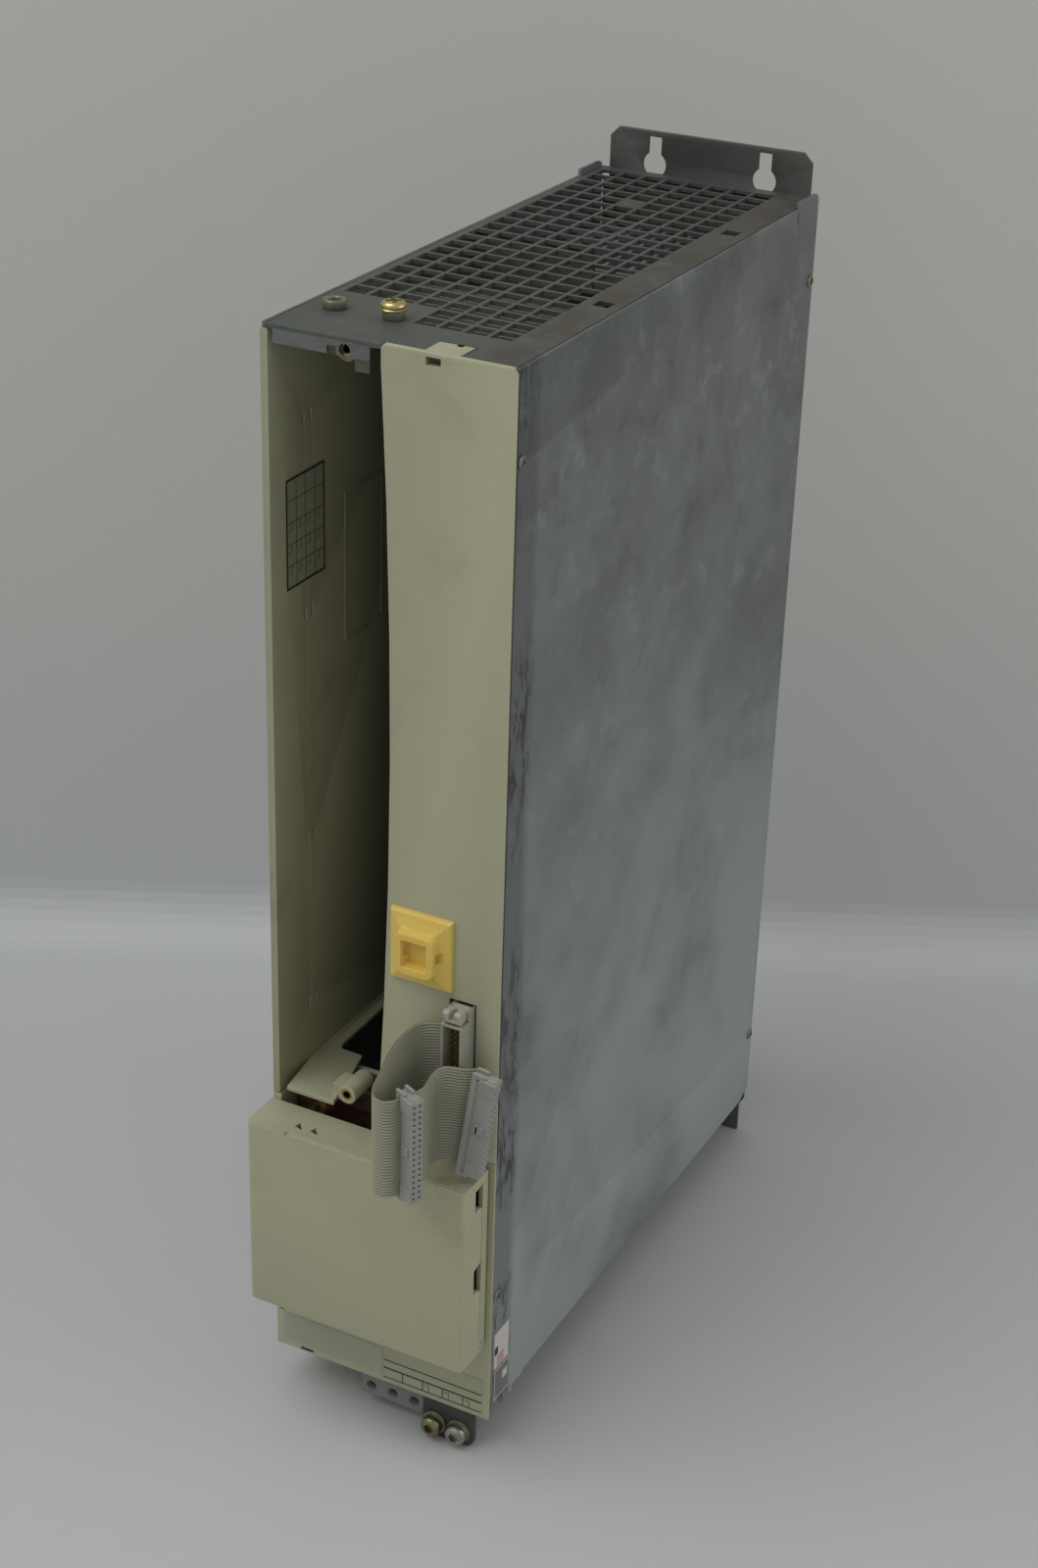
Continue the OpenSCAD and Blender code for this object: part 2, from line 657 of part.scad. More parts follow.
module supply_transformer() color("#6b5a3a") {
    z = fan_z - gap;
    difference() {
        block([6, 44, z], [42, 84, z + 34]);
        for (y = [43, 77]) block([14, y, z + 5], [34, y + 8, z + 29]);
    }
    block([14.5, 46.5, z + 34], [33.5, 81.5, z + 38]);
}

// ---- Busbars ----

module busbar(z) color("#b87f55") difference() {
    block([-bar_l / 2, bar_y, z], [bar_l / 2, bar_y + bar_t, z + bar_h]);
    for (x = [-1, 1] * bar_screws) rod_y(x, z + bar_h / 2, 2.8, bar_y - 1, bar_y + bar_t + 1);
}
module busbar_upper() busbar(bar_z[1]);
module busbar_lower() busbar(bar_z[0]);

module busbar_carrier() color("#8b3f2e") difference() {
    y0 = bar_y + bar_t;
    union() {
        for (z = bar_z) block([-bar_l / 2 - 1, y0, z - 3], [bar_l / 2 + 1, y0 + 9, z + bar_h + 3]);
        for (x = [-1, 1] * 26) block([x - 5, y0 + 9, bar_z[0] - 3], [x + 5, recess_d, bar_z[1] + bar_h + 3]);
    }
    for (z = bar_z, x = [-1, 1] * bar_screws) rod_y(x, z + bar_h / 2, m5_core_r, 0, y0 + 10);
}

module busbar_screws() color("#c9b47a") difference() {
    for (z = bar_z, x = [-1, 1] * bar_screws) {
        rod_y(x, z + bar_h / 2, 4.4, bar_y - 3.6, bar_y);
        rod_y(x, z + bar_h / 2, 2.4, bar_y, bar_y + bar_t + 8);
    }
    for (z = bar_z, x = [-1, 1] * bar_screws) translate([x, bar_y - 1.6, z + bar_h / 2])
        rotate([90, 0, 0]) cylinder(r = 2.3, h = 3, $fn = 6);
}

// ---- Terminals under the fascia ----

term_mid = (term_x[0] + term_x[1]) / 2;

module motor_terminal_block() color("#bdb9a6") difference() {
    block([term_x[0], term_y[0], -term_h], [term_x[1], term_y[1], 0]);
    for (i = [-1:1]) {
        rod_y(term_mid + i * wire_pitch, wire_z, 2.4, term_y[0] - 1, term_y[0] + 15);
        rod_z(term_mid + i * wire_pitch, term_y[0] + 9, 2.2, -term_h - 1, wire_z);
        // Way up to the motor wires inside
        rod_z(term_mid + i * wire_pitch, 12, 2, wire_z, 1);
    }
}

module terminal_screws() color("#b7b5aa") for (i = [-1:1]) difference() {
    rod_z(term_mid + i * wire_pitch, term_y[0] + 9, 2.1, -term_h + 0.2, wire_z - 2.6);
    translate([term_mid + i * wire_pitch - 2.5, term_y[0] + 8.6, -term_h - 1]) cube([5, 0.8, 1.9]);
}

module earth_bracket() color("#4a4d4e") {
    rise = fan_z - plate_t - gap;
    difference() {
        along_y(earth_y[0], earth_y[1]) {
            r = 5;
            polygon([[earth_x[0], -gap], [earth_x[0], -foot_drop], [earth_x[1] - r, -foot_drop],
                [earth_x[1], r - foot_drop], [earth_x[1], -gap]]);
            translate([earth_x[1] - r, r - foot_drop]) circle(r = r);
        }
        for (x = earth_screw_x) rod_y(x, earth_screw_z, m5_hole_r, 0, 5);
    }
    block([earth_x[0], earth_y[1], -gap - 2], [earth_x[1], 60, -gap]);
    block([earth_x[0], 60, -gap - 2], [earth_x[1], 62, rise]);
}

module earth_screws() color("#b8a458") difference() {
    for (x = earth_screw_x) {
        rod_y(x, earth_screw_z, earth_head_r, -4.6, -0.9);
        rod_y(x, earth_screw_z, m5_core_r, -0.9, 8);
    }
    for (x = earth_screw_x) translate([x, -3, earth_screw_z]) rotate([90, 0, 0])
        cylinder(r = 2.2, h = 3, $fn = 6);
}

module earth_washers() color("#a8a48c") for (x = earth_screw_x) difference() {
    union() {
        rod_y(x, earth_screw_z, earth_washer_r, 0.1, 1);
        rod_y(x, earth_screw_z, 4.4, -0.9, 0.1);
    }
    rod_y(x, earth_screw_z, m5_core_r + 0.1, -2, 2);
}

spacer_h = 3.4;
spacer_r = [4.3, 4];
top_washer = [4.9, 0.7];               // radius and thickness
top_head = [4.7, 2.5];

module top_spacers() color("#a29d85") for (i = [0, 1]) difference() {
    rod_z(spacer_x[i], spacer_y, spacer_r[i], top_z, top_z + spacer_h);
    rod_z(spacer_x[i], spacer_y, 2.2, top_z - 1, top_z + spacer_h + 1);
}

module top_screw() color("#c8ad45") {
    z = top_z + spacer_h;
    difference() {
        union() {
            rod_z(spacer_x[1], spacer_y, top_washer[0], z, z + top_washer[1]);
            rod_z(spacer_x[1], spacer_y, top_head[0], z + top_washer[1], z + top_washer[1] + top_head[1]);
            rod_z(spacer_x[1], spacer_y, 2.05, z - 14, z);
        }
        rod_z(spacer_x[1], spacer_y, 2.2, z + 1.6, z + 6, $fn = 6);
    }
}

// ---- Front fittings ----

tie_w = 26.4;
tie_h = 30;
tie_x = 17.4;
tie_z = 213.4;

module tie_mount() color("#d9a83c") translate([tie_x, 0, tie_z]) difference() {
    union() {
        block([-tie_w / 2, -1.4, -tie_h / 2], [tie_w / 2, 0, tie_h / 2]);
        hull() {
            block([-tie_w / 2 + 1, -1.5, -tie_h / 2 + 1], [tie_w / 2 - 1, -1.4, tie_h / 2 - 1]);
            block([-9, -5, -10], [9, -4.9, 10]);
        }
        block([-8, -8, -8.6], [8, -4.9, 8.6]);
    }
    // Bridge for the cable tie: a pit with a through way along X
    block([-3.4, -9, -3.4], [3.4, -2.4, 3.4]);
    block([-9, -6.4, -2.4], [9, -3.4, 2.4]);
    for (x = [-6.4, 4.6]) block([x, -9, -4], [x + 1.8, -5, 4]);
}

header_x1 = header_x + header_w;
header_mid = (header_x + header_x1) / 2;
header_ends = [header_z - header_l / 2, header_z + header_l / 2];
pivot_y = -1;
pivot_off = 2.6;
pivot_r = 0.8;
cheek_t = 0.7;
pin_rows = [-1, 1];
pin_places = [for (i = [0:pins_n - 1]) header_z + (i - (pins_n - 1) / 2) * pin_pitch];

module pin_hole(z, side, h) translate([header_mid + side * pin_pitch / 2 - h, board_y - 1, z - h])
    cube([2 * h, board_t + 2, 2 * h]);

module header_shell() color("#b5b3a8") {
    difference() {
        block([header_x, shell_y, header_ends[0]], [header_x1, board_y, header_ends[1]]);
        block([header_x + 1.1, shell_y - 1, header_ends[0] + 0.9],
            [header_x1 - 1.1, -0.6, header_ends[1] - 0.9]);
        // Polarising notch in the wall
        block([header_x1 - 2, shell_y - 1, header_z - 2.2], [header_x1 + 1, -3, header_z + 2.2]);
        for (i = pin_rows, p = pin_places) translate([header_mid + i * pin_pitch / 2 - 0.4, -1, p - 0.4])
            cube([0.8, board_y + 2, 0.8]);
    }
    // Cheeks and pivots of the ejectors
    for (s = [-1, 1]) {
        end = s < 0 ? header_ends[0] : header_ends[1];
        z = [min(end, end + s * 4.6), max(end, end + s * 4.6)];
        block([header_x, -4, z[0]], [header_x + cheek_t, board_y, z[1]]);
        block([header_x1 - cheek_t, -4, z[0]], [header_x1, board_y, z[1]]);
        rod_x(pivot_y, end + s * pivot_off, pivot_r, header_x, header_x1);
    }
}

module header_pins() color("#c9a23a") for (i = pin_rows, p = pin_places)
    translate([header_mid + i * pin_pitch / 2 - 0.32, shell_y + 2, p - 0.32])
        cube([0.64, board_y + board_t + 1 - shell_y - 2, 0.64]);

// Ejector of the bus connector, drawn for the upper end; its claw points at the plug
module ejector() difference() {
    x = [header_x + cheek_t + 0.2, header_x1 - cheek_t - 0.2];
    union() {
        rod_x(pivot_y, header_ends[1] + pivot_off, 2.2, x[0], x[1]);
        translate([0, 0, header_ends[1] + pivot_off]) along_x(x[0], x[1])
            polygon([[-1.4, -1.7], [-8.2, -2.2], [-9.4, -1.2], [-10, 2.6], [-9, 3.6], [-1.4, 1.7]]);
    }
    rod_x(pivot_y, header_ends[1] + pivot_off, pivot_r + 0.08, header_x - 1, header_x1 + 1);
    block([header_mid - 1.1, -11, header_ends[1] + 2.2], [header_mid + 1.1, -4, header_ends[1] + 9]);
}
module latch_upper() color("#c9c6b8") ejector();
module latch_lower() color("#c9c6b8") translate([0, 0, 2 * header_z]) mirror([0, 0, 1]) ejector();

// ---- Bus cable ----

// Route of the middle of the ribbon: X, Y, Z and the lean of its edge in degrees
route = [[29.7, 3.4, 165, 0], [29.7, 0.4, 165, 0], [29.7, -2.6, 165, 0], [28.2, -4.9, 165, 0],
    [25, -5.7, 164.7, 0], [21, -8.2, 164.2, 0], [18.7, -13.4, 163.3, 0], [17.8, -20.2, 162, 0],
    [18.4, -26.6, 160.9, 0], [19.8, -33, 159.8, 0], [21, -39.1, 158.6, 0], [22, -44.2, 157.4, 0],
    [24.4, -48.2, 156.4, 0], [28.2, -49, 155.6, 0], [31.249, -46.227, 155.2, 0],
    [32.4745, -43.598, 155.2, 0], [33.7, -40.97, 155.2, 0], [34.9255, -38.342, 155.2, 0],
    [36.151, -35.713, 155.2, 0], [36.5, -32.4, 155, 0], [35.4, -28.4, 154.6, 0.5],
    [34.1, -23.6, 154.2, 1], [33.4, -19, 153.8, 1.5], [34.4, -15, 153.4, 1.8], [36.9, -12.7, 152.9, 2.4],
    [39.8, -11.4, 152.5, 3.2], [42.3, -9.6, 152.4, 4.6], [44.5, -7.4, 152.3, 6], [46, -6.2, 152.2, 7],
    [46.85, -7.2, 152.1, 7.8], [46.85, -9.9, 152.1, 7.8], [46.85, -12.6, 152.1, 7.8],
    [46.85, -15.2, 152.1, 7.8]];
steps = 2;
function at_least(i) = min(max(i, 0), len(route) - 1);
function curve(p, q, r, s, t) = (2 * q + (r - p) * t + (2 * p - 5 * q + 4 * r - s) * t * t
    + (3 * q - p - 3 * r + s) * t * t * t) / 2;
line = [for (i = [0:len(route) - 2], k = [0:steps - 1])
    curve(route[at_least(i - 1)], route[i], route[i + 1], route[at_least(i + 2)], k / steps),
    route[len(route) - 1]];
function unit(v) = v / norm(v);
function part(v) = [v[0], v[1], v[2]];
function ring(i) = let (
    t = unit(part(line[min(i + 1, len(line) - 1)]) - part(line[max(i - 1, 0)])),
    w = [sin(line[i][3]), 0, cos(line[i][3])] * ribbon_w / 2,
    n = unit(cross(t, w)) * ribbon_t / 2, c = part(line[i]))
    [c - w - n, c - w + n, c + w + n, c + w - n];

module ribbon_cable() color("#bab59f") {
    n = len(line);
    polyhedron(points = [for (i = [0:n - 1], p = ring(i)) p],
        faces = concat([[0, 1, 2], [0, 2, 3]],
            [for (f = [[2, 1, 0], [3, 2, 0]]) [for (k = f) (n - 1) * 4 + k]],
            [for (i = [0:n - 2], k = [0:3], half = [0, 1]) let (a = i * 4 + k, b = i * 4 + (k + 1) % 4)
                half == 0 ? [a, a + 4, b + 4] : [a, b + 4, b]]));
}

// Places of the two plugs: middle of the ribbon in the plug, turn about Z and lean
middle_at = [33.7, -40.97, 155.2];
middle_turn = -25;
end_at = [46.85, -12.7, 152.1];
end_lean = 7.8;
module in_middle() translate(middle_at) rotate([0, 0, middle_turn]) children();
module in_end() translate(end_at) rotate([0, end_lean, 0]) children();

// The ribbon lies in the plane X = 0; contacts open towards +X
module plug_body() difference() {
    block([ribbon_t / 2, -plug_w / 2, -plug_l / 2], [plug_d - 1.5, plug_w / 2, plug_l / 2]);
    for (i = pin_rows, k = [0:pins_n - 1])
        translate([plug_d - 4.5, i * pin_pitch / 2 - 0.5, (k - (pins_n - 1) / 2) * pin_pitch - 0.5])
            cube([4, 1, 1]);
}
module plug_cover() {
    block([-plug_cover_t, -plug_w / 2, -plug_l / 2], [-ribbon_t / 2, plug_w / 2, plug_l / 2]);
    // Snap legs past the ribbon's edges
    for (s = [-1, 1]) block([-ribbon_t / 2, -1.6, s > 0 ? ribbon_w / 2 + 0.2 : -plug_l / 2],
        [ribbon_t / 2, 1.6, s > 0 ? plug_l / 2 : -ribbon_w / 2 - 0.2]);
}
module plug_middle() color("#9b9b9c") in_middle() plug_body();
module plug_middle_cover() color("#a3a3a4") in_middle() plug_cover();
module plug_end() color("#9b9b9c") in_end() plug_body();
module plug_end_cover() color("#a3a3a4") in_end() plug_cover();

placed() back_plate();
placed() top_grille();
placed() front_lip();
placed() base_plate();
placed() side_panel_right();
placed() side_panel_left();
placed() side_screws();
placed() slot_housing();
placed() slot_floor();
placed() slot_inserts();
placed() slot_vent();
placed() slot_connectors();
placed() front_panel();
placed() lower_housing();
placed() rating_label();
placed() switch_label();
placed() side_label();
placed() heat_sink();
placed() power_modules();
placed() module_screws();
placed() driver_board();
placed() capacitors();
placed() capacitor_board();
placed() bus_board();
placed() supply_transformer();
placed() fan_frame();
placed() fan_rotor();
placed() fan_guard();
placed() fan_screws();
placed() busbar_upper();
placed() busbar_lower();
placed() busbar_carrier();
placed() busbar_screws();
placed() motor_terminal_block();
placed() terminal_screws();
placed() earth_bracket();
placed() earth_screws();
placed() earth_washers();
placed() top_spacers();
placed() top_screw();
placed() tie_mount();
placed() header_shell();
placed() header_pins();
placed() latch_upper();
placed() latch_lower();
placed() ribbon_cable();
placed() plug_middle();
placed() plug_middle_cover();
placed() plug_end();
placed() plug_end_cover();
placed() dc_link_cover();
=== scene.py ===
"""Servo drive power module: the detailed look of its sheet metal, moulded front and bus cable."""
import math

import bmesh
import bpy
import numpy as np
from mathutils import Matrix, Vector


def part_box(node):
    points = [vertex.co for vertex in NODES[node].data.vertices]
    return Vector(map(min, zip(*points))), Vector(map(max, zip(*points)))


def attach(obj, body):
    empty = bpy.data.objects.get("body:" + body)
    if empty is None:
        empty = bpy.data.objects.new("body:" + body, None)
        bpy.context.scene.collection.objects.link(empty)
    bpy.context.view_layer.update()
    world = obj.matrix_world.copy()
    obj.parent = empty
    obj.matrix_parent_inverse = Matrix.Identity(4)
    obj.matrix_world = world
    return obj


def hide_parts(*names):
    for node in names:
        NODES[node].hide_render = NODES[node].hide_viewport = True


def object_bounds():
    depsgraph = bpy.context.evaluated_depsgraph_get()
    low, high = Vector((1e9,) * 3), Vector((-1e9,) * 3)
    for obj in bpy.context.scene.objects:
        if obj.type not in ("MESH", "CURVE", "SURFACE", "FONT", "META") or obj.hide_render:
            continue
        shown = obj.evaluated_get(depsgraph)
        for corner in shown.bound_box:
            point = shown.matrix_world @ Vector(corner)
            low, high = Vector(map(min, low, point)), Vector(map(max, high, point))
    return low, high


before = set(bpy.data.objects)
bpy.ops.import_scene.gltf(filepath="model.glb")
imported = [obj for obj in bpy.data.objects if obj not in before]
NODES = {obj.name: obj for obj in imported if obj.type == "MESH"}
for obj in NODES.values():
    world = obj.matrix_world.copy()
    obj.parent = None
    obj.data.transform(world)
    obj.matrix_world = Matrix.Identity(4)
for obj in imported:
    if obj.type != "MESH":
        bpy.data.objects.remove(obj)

bl_info = {
    "name": "Servo Drive",
    "version": (1, 0, 0),
    "blender": (4, 5, 0),
    "location": "View3D > Sidebar > Servo Drive",
    "description": "Builds the visible pieces of a servo drive power module around its frame",
    "category": "Object",
}

CAD_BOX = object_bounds()
MM = 0.001
BODY = "housing"
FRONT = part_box("rating_label")[0].y + 0.2 * MM   # plane of the moulded front
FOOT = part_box("rating_label")[0].z - 0.4 * MM    # lower edge of the fascia


def at(x, y, z):
    """A place on the drive in millimetres: X from its middle, Y behind the front, Z above the fascia's foot."""
    return Vector((x * MM, FRONT + y * MM, FOOT + z * MM))


# ---------------------------------------------------------------- settings

class DriveSizes(bpy.types.PropertyGroup):
    """Sizes of the small shapes that the frame leaves plain."""
    edge: bpy.props.FloatProperty(
        name="Moulded edge", description="Rounding of the moulded edges", default=0.0006,
        min=0.0001, max=0.002, subtype="DISTANCE", unit="LENGTH")
    sheet_edge: bpy.props.FloatProperty(
        name="Sheet edge", description="Rounding of the sheet metal edges", default=0.00025,
        min=0.00005, max=0.001, subtype="DISTANCE", unit="LENGTH")
    wires: bpy.props.IntProperty(
        name="Ribbon wires", description="Wires side by side in the bus cable", default=34, min=10, max=64)
    wire_pitch: bpy.props.FloatProperty(
        name="Wire pitch", description="Distance between two wires of the bus cable", default=0.00127,
        min=0.0005, max=0.003, subtype="DISTANCE", unit="LENGTH")
    wire_thickness: bpy.props.FloatProperty(
        name="Wire thickness", description="Thickness of the bus cable over a wire", default=0.00088,
        min=0.0003, max=0.002, subtype="DISTANCE", unit="LENGTH")
    groove: bpy.props.FloatProperty(
        name="Groove", description="Share of the thickness left between two wires", default=0.38,
        min=0.1, max=1, subtype="FACTOR")


class DriveFinish(bpy.types.PropertyGroup):
    """Colours of the finishes."""
    plastic: bpy.props.FloatVectorProperty(
        name="Moulded front", description="Colour of the moulded front", subtype="COLOR",
        size=4, min=0, max=1, default=(0.448, 0.442, 0.298, 1))
    # A darker copy of the moulded front's colour: painted shade for the plastic inside the slot.
    plastic_inside: bpy.props.FloatVectorProperty(
        name="Slot", description="Colour of the plastic inside the slot", subtype="COLOR",
        size=4, min=0, max=1, default=(0.37, 0.36, 0.245, 1))
    # Set about a fifth darker than the sheet's own colour: the dim top of the painted light that lightens the side
    # towards the bottom.
    steel: bpy.props.FloatVectorProperty(
        name="Galvanised steel", description="Colour of the side panels", subtype="COLOR",
        size=4, min=0, max=1, default=(0.195, 0.206, 0.205, 1))
    dark_steel: bpy.props.FloatVectorProperty(
        name="Top and back", description="Colour of the top, back and base plates", subtype="COLOR",
        size=4, min=0, max=1, default=(0.112, 0.121, 0.108, 1))
    nylon: bpy.props.FloatVectorProperty(
        name="Tie mount", description="Colour of the yellowed nylon", subtype="COLOR",
        size=4, min=0, max=1, default=(0.82, 0.60, 0.14, 1))
    ribbon: bpy.props.FloatVectorProperty(
        name="Bus cable", description="Colour of the ribbon cable", subtype="COLOR",
        size=4, min=0, max=1, default=(0.44, 0.435, 0.32, 1))
    plug: bpy.props.FloatVectorProperty(
        name="Plugs", description="Colour of the ribbon plugs", subtype="COLOR",
        size=4, min=0, max=1, default=(0.32, 0.32, 0.30, 1))


class StageSettings(bpy.types.PropertyGroup):
    """Camera, lights and floor."""
    lens: bpy.props.FloatProperty(
        name="Lens", description="Focal length on a sensor 36 mm high", default=59.5,
        min=20, max=200, unit="CAMERA")
    key: bpy.props.FloatProperty(
        name="Key light", description="Power of the large light above", default=22, min=0, subtype="POWER",
        unit="POWER")
    fill: bpy.props.FloatProperty(
        name="Fill light", description="Brightness of the surroundings", default=0.42, min=0)
    table_edge: bpy.props.FloatProperty(
        name="Table depth", description="Distance from the camera to the backdrop", default=1.235,
        min=1, max=4, subtype="DISTANCE", unit="LENGTH")


# ---------------------------------------------------------------- shader groups

def group_tree(name, ins, outs):
    """A shader group with the named sockets; returns the tree and its two end nodes."""
    tree = bpy.data.node_groups.new(name, "ShaderNodeTree")
    for socket, kind, default in ins:
        s = tree.interface.new_socket(name=socket, in_out="INPUT", socket_type=kind)
        s.default_value = default
    for socket, kind in outs:
        tree.interface.new_socket(name=socket, in_out="OUTPUT", socket_type=kind)
    return tree, tree.nodes.new("NodeGroupInput"), tree.nodes.new("NodeGroupOutput")


class Net:
    """Short ways to place and join the nodes of one tree."""

    def __init__(self, tree):
        self.tree = tree

    def add(self, kind, ins=(), out=0, **values):
        node = self.tree.nodes.new(kind)
        for key, value in values.items():
            setattr(node, key, value)
        for key, value in dict(ins).items():
            self.set(node.inputs[key], value)
        return node if out is None else node.outputs[out]

    def set(self, socket, value):
        if isinstance(value, bpy.types.NodeSocket):
            self.tree.links.new(value, socket)
        else:
            socket.default_value = value

    def math(self, operation, a, b=0.0, clamp=False):
        return self.add("ShaderNodeMath", {0: a, 1: b}, operation=operation, use_clamp=clamp)

    def between(self, value, low, high, to_low=0.0, to_high=1.0):
        return self.add("ShaderNodeMapRange", {"Value": value, "From Min": low, "From Max": high,
                                               "To Min": to_low, "To Max": to_high}, interpolation_type="SMOOTHSTEP")

    def mix(self, factor, a, b, blend="MIX"):
        node = self.add("ShaderNodeMix", {0: factor, 6: a, 7: b}, out=None, data_type="RGBA", blend_type=blend)
        return node.outputs[2]

    def noise(self, place, scale, detail=4.0, rough=0.55, warp=0.0):
        return self.add("ShaderNodeTexNoise", {"Vector": place, "Scale": scale, "Detail": detail,
                                               "Roughness": rough, "Distortion": warp})

    def place(self, scale=(1, 1, 1), shift=(0, 0, 0)):
        spot = self.add("ShaderNodeTexCoord", out="Object")
        return self.add("ShaderNodeMapping", {"Vector": spot, "Scale": scale, "Location": shift})


def edge_wear_group():
    """Mask of the worn corners: where a rounded normal leaves the true one."""
    tree, start, end = group_tree("Edge Wear", [("Vector", "NodeSocketVector", (0, 0, 0)),
                                                ("Width", "NodeSocketFloat", 0.0008),
                                                ("Breakup", "NodeSocketFloat", 90.0)],
                                  [("Mask", "NodeSocketFloat")])
    n = Net(tree)
    round_normal = n.add("ShaderNodeBevel", {"Radius": start.outputs["Width"]}, samples=4)
    true_normal = n.add("ShaderNodeNewGeometry", out="Normal")
    dot = n.add("ShaderNodeVectorMath", {0: round_normal, 1: true_normal}, out="Value", operation="DOT_PRODUCT")
    worn = n.between(dot, 0.99, 0.80)
    patch = n.between(n.noise(start.outputs["Vector"], start.outputs["Breakup"], 5.0, 0.6), 0.38, 0.62)
    n.set(end.inputs["Mask"], n.math("MULTIPLY", worn, patch))
    return tree


def grime_group():
    """Soft dirty blotches with fine streaks, as a mask and as a fine speckle."""
    tree, start, end = group_tree("Grime", [("Vector", "NodeSocketVector", (0, 0, 0)),
                                            ("Scale", "NodeSocketFloat", 12.0),
                                            ("Low", "NodeSocketFloat", 0.4),
                                            ("High", "NodeSocketFloat", 0.7)],
                                  [("Mask", "NodeSocketFloat"), ("Speckle", "NodeSocketFloat")])
    n = Net(tree)
    blotch = n.noise(start.outputs["Vector"], start.outputs["Scale"], 7.0, 0.62, 0.4)
    n.set(end.inputs["Mask"], n.add("ShaderNodeMapRange", {"Value": blotch, "From Min": start.outputs["Low"],
                                                          "From Max": start.outputs["High"]},
                                    interpolation_type="SMOOTHSTEP"))
    fine = n.noise(start.outputs["Vector"], n.math("MULTIPLY", start.outputs["Scale"], 34.0), 3.0, 0.7)
    n.set(end.inputs["Speckle"], n.between(fine, 0.60, 0.74))
    return tree


def grain_group():
    """Height of a fine moulded or rolled grain."""
    tree, start, end = group_tree("Grain", [("Vector", "NodeSocketVector", (0, 0, 0)),
                                            ("Size", "NodeSocketFloat", 1400.0),
                                            ("Waviness", "NodeSocketFloat", 14.0)],
                                  [("Height", "NodeSocketFloat")])
    n = Net(tree)
    fine = n.noise(start.outputs["Vector"], start.outputs["Size"], 2.0, 0.6)
    wave = n.noise(start.outputs["Vector"], start.outputs["Waviness"], 2.0, 0.5)
    n.set(end.inputs["Height"], n.math("ADD", n.math("MULTIPLY", fine, 0.25), wave))
    return tree


def dust_group():
    """Mask of the dust that lies on faces turned upwards."""
    tree, start, end = group_tree("Dust", [("Vector", "NodeSocketVector", (0, 0, 0)),
                                           ("Amount", "NodeSocketFloat", 0.5)],
                                  [("Mask", "NodeSocketFloat")])
    n = Net(tree)
    normal = n.add("ShaderNodeNewGeometry", out="Normal")
    up = n.between(n.add("ShaderNodeSeparateXYZ", {0: normal}, out="Z"), 0.3, 0.9)
    patch = n.between(n.noise(start.outputs["Vector"], 60.0, 6.0, 0.65), 0.3, 0.75)
    n.set(end.inputs["Mask"], n.math("MULTIPLY", n.math("MULTIPLY", up, patch), start.outputs["Amount"]))
    return tree


GROUPS = {}


def effect(net, name, ins, out):
    """One of the shared effects, placed in a material with its own values."""
    if name not in GROUPS:
        GROUPS[name] = {"Edge Wear": edge_wear_group, "Grime": grime_group, "Grain": grain_group,
                        "Dust": dust_group}[name]()
    node = net.tree.nodes.new("ShaderNodeGroup")
    node.node_tree = GROUPS[name]
    for key, value in ins.items():
        net.set(node.inputs[key], value)
    return node.outputs[out]


def shaded(colour, factor):
    """The colour made darker or lighter, as a new colour."""
    return [min(1.0, max(0.0, c * factor)) for c in colour[:3]] + [1.0]


def start_material(name, **constants):
    """A new material, its net and its shader, with the shader's plain values set."""
    material = bpy.data.materials.new(name)
    material.use_nodes = True
    tree = material.node_tree
    shader = next(node for node in tree.nodes if node.type == "BSDF_PRINCIPLED")
    for key, value in constants.items():
        shader.inputs[key.replace("_", " ")].default_value = value
    return material, Net(tree), shader


def moulded(name, colour, grime=0.35, wear=0.5, rough=(0.42, 0.62), yellow=0.25, bump=0.12, seed=0.0,
            tint=(0.52, 0.47, 0.27, 1), deep=None):
    """Aged moulded plastic: uneven yellowing, grey handling marks, pale worn edges, fine grain.
    deep is a stretch along Y, in metres, over which painted shade darkens the plastic further into the slot."""
    material, n, shader = start_material(name)
    spot = n.place(shift=(seed, seed * 0.7, seed * 1.3))
    aged = effect(n, "Grime", {"Vector": spot, "Scale": 7.0, "Low": 0.35, "High": 0.75}, "Mask")
    dirt = effect(n, "Grime", {"Vector": spot, "Scale": 26.0, "Low": 0.5, "High": 0.78}, "Mask")
    speck = effect(n, "Grime", {"Vector": spot, "Scale": 26.0}, "Speckle")
    tone = n.mix(n.math("MULTIPLY", aged, yellow), list(colour), list(tint))
    tone = n.mix(n.math("MULTIPLY", dirt, grime), tone, shaded(colour, 0.62))
    tone = n.mix(n.math("MULTIPLY", speck, grime * 0.45), tone, shaded(colour, 0.35))
    edge = effect(n, "Edge Wear", {"Vector": spot, "Width": 0.0009}, "Mask")
    tone = n.mix(n.math("MULTIPLY", edge, wear), tone, shaded(colour, 1.35))
    dust = effect(n, "Dust", {"Vector": spot, "Amount": 0.35}, "Mask")
    tone = n.mix(dust, tone, (0.40, 0.385, 0.33, 1))
    # Painted shade: the plastic turns darker the deeper it lies in the slot, where less light reaches.
    if deep:
        y = n.add("ShaderNodeSeparateXYZ", {0: n.place()}, out="Y")
        tone = n.mix(n.math("MULTIPLY", n.between(y, *deep), 0.85), tone, shaded(colour, 0.12))
    n.set(shader.inputs["Base Color"], tone)
    n.set(shader.inputs["Roughness"], n.between(aged, 0, 1, rough[0], rough[1]))
    grain = effect(n, "Grain", {"Vector": spot, "Size": 1500.0, "Waviness": 9.0}, "Height")
    n.set(shader.inputs["Normal"], n.add("ShaderNodeBump", {"Height": grain, "Strength": bump, "Distance": 0.0004}))
    return material


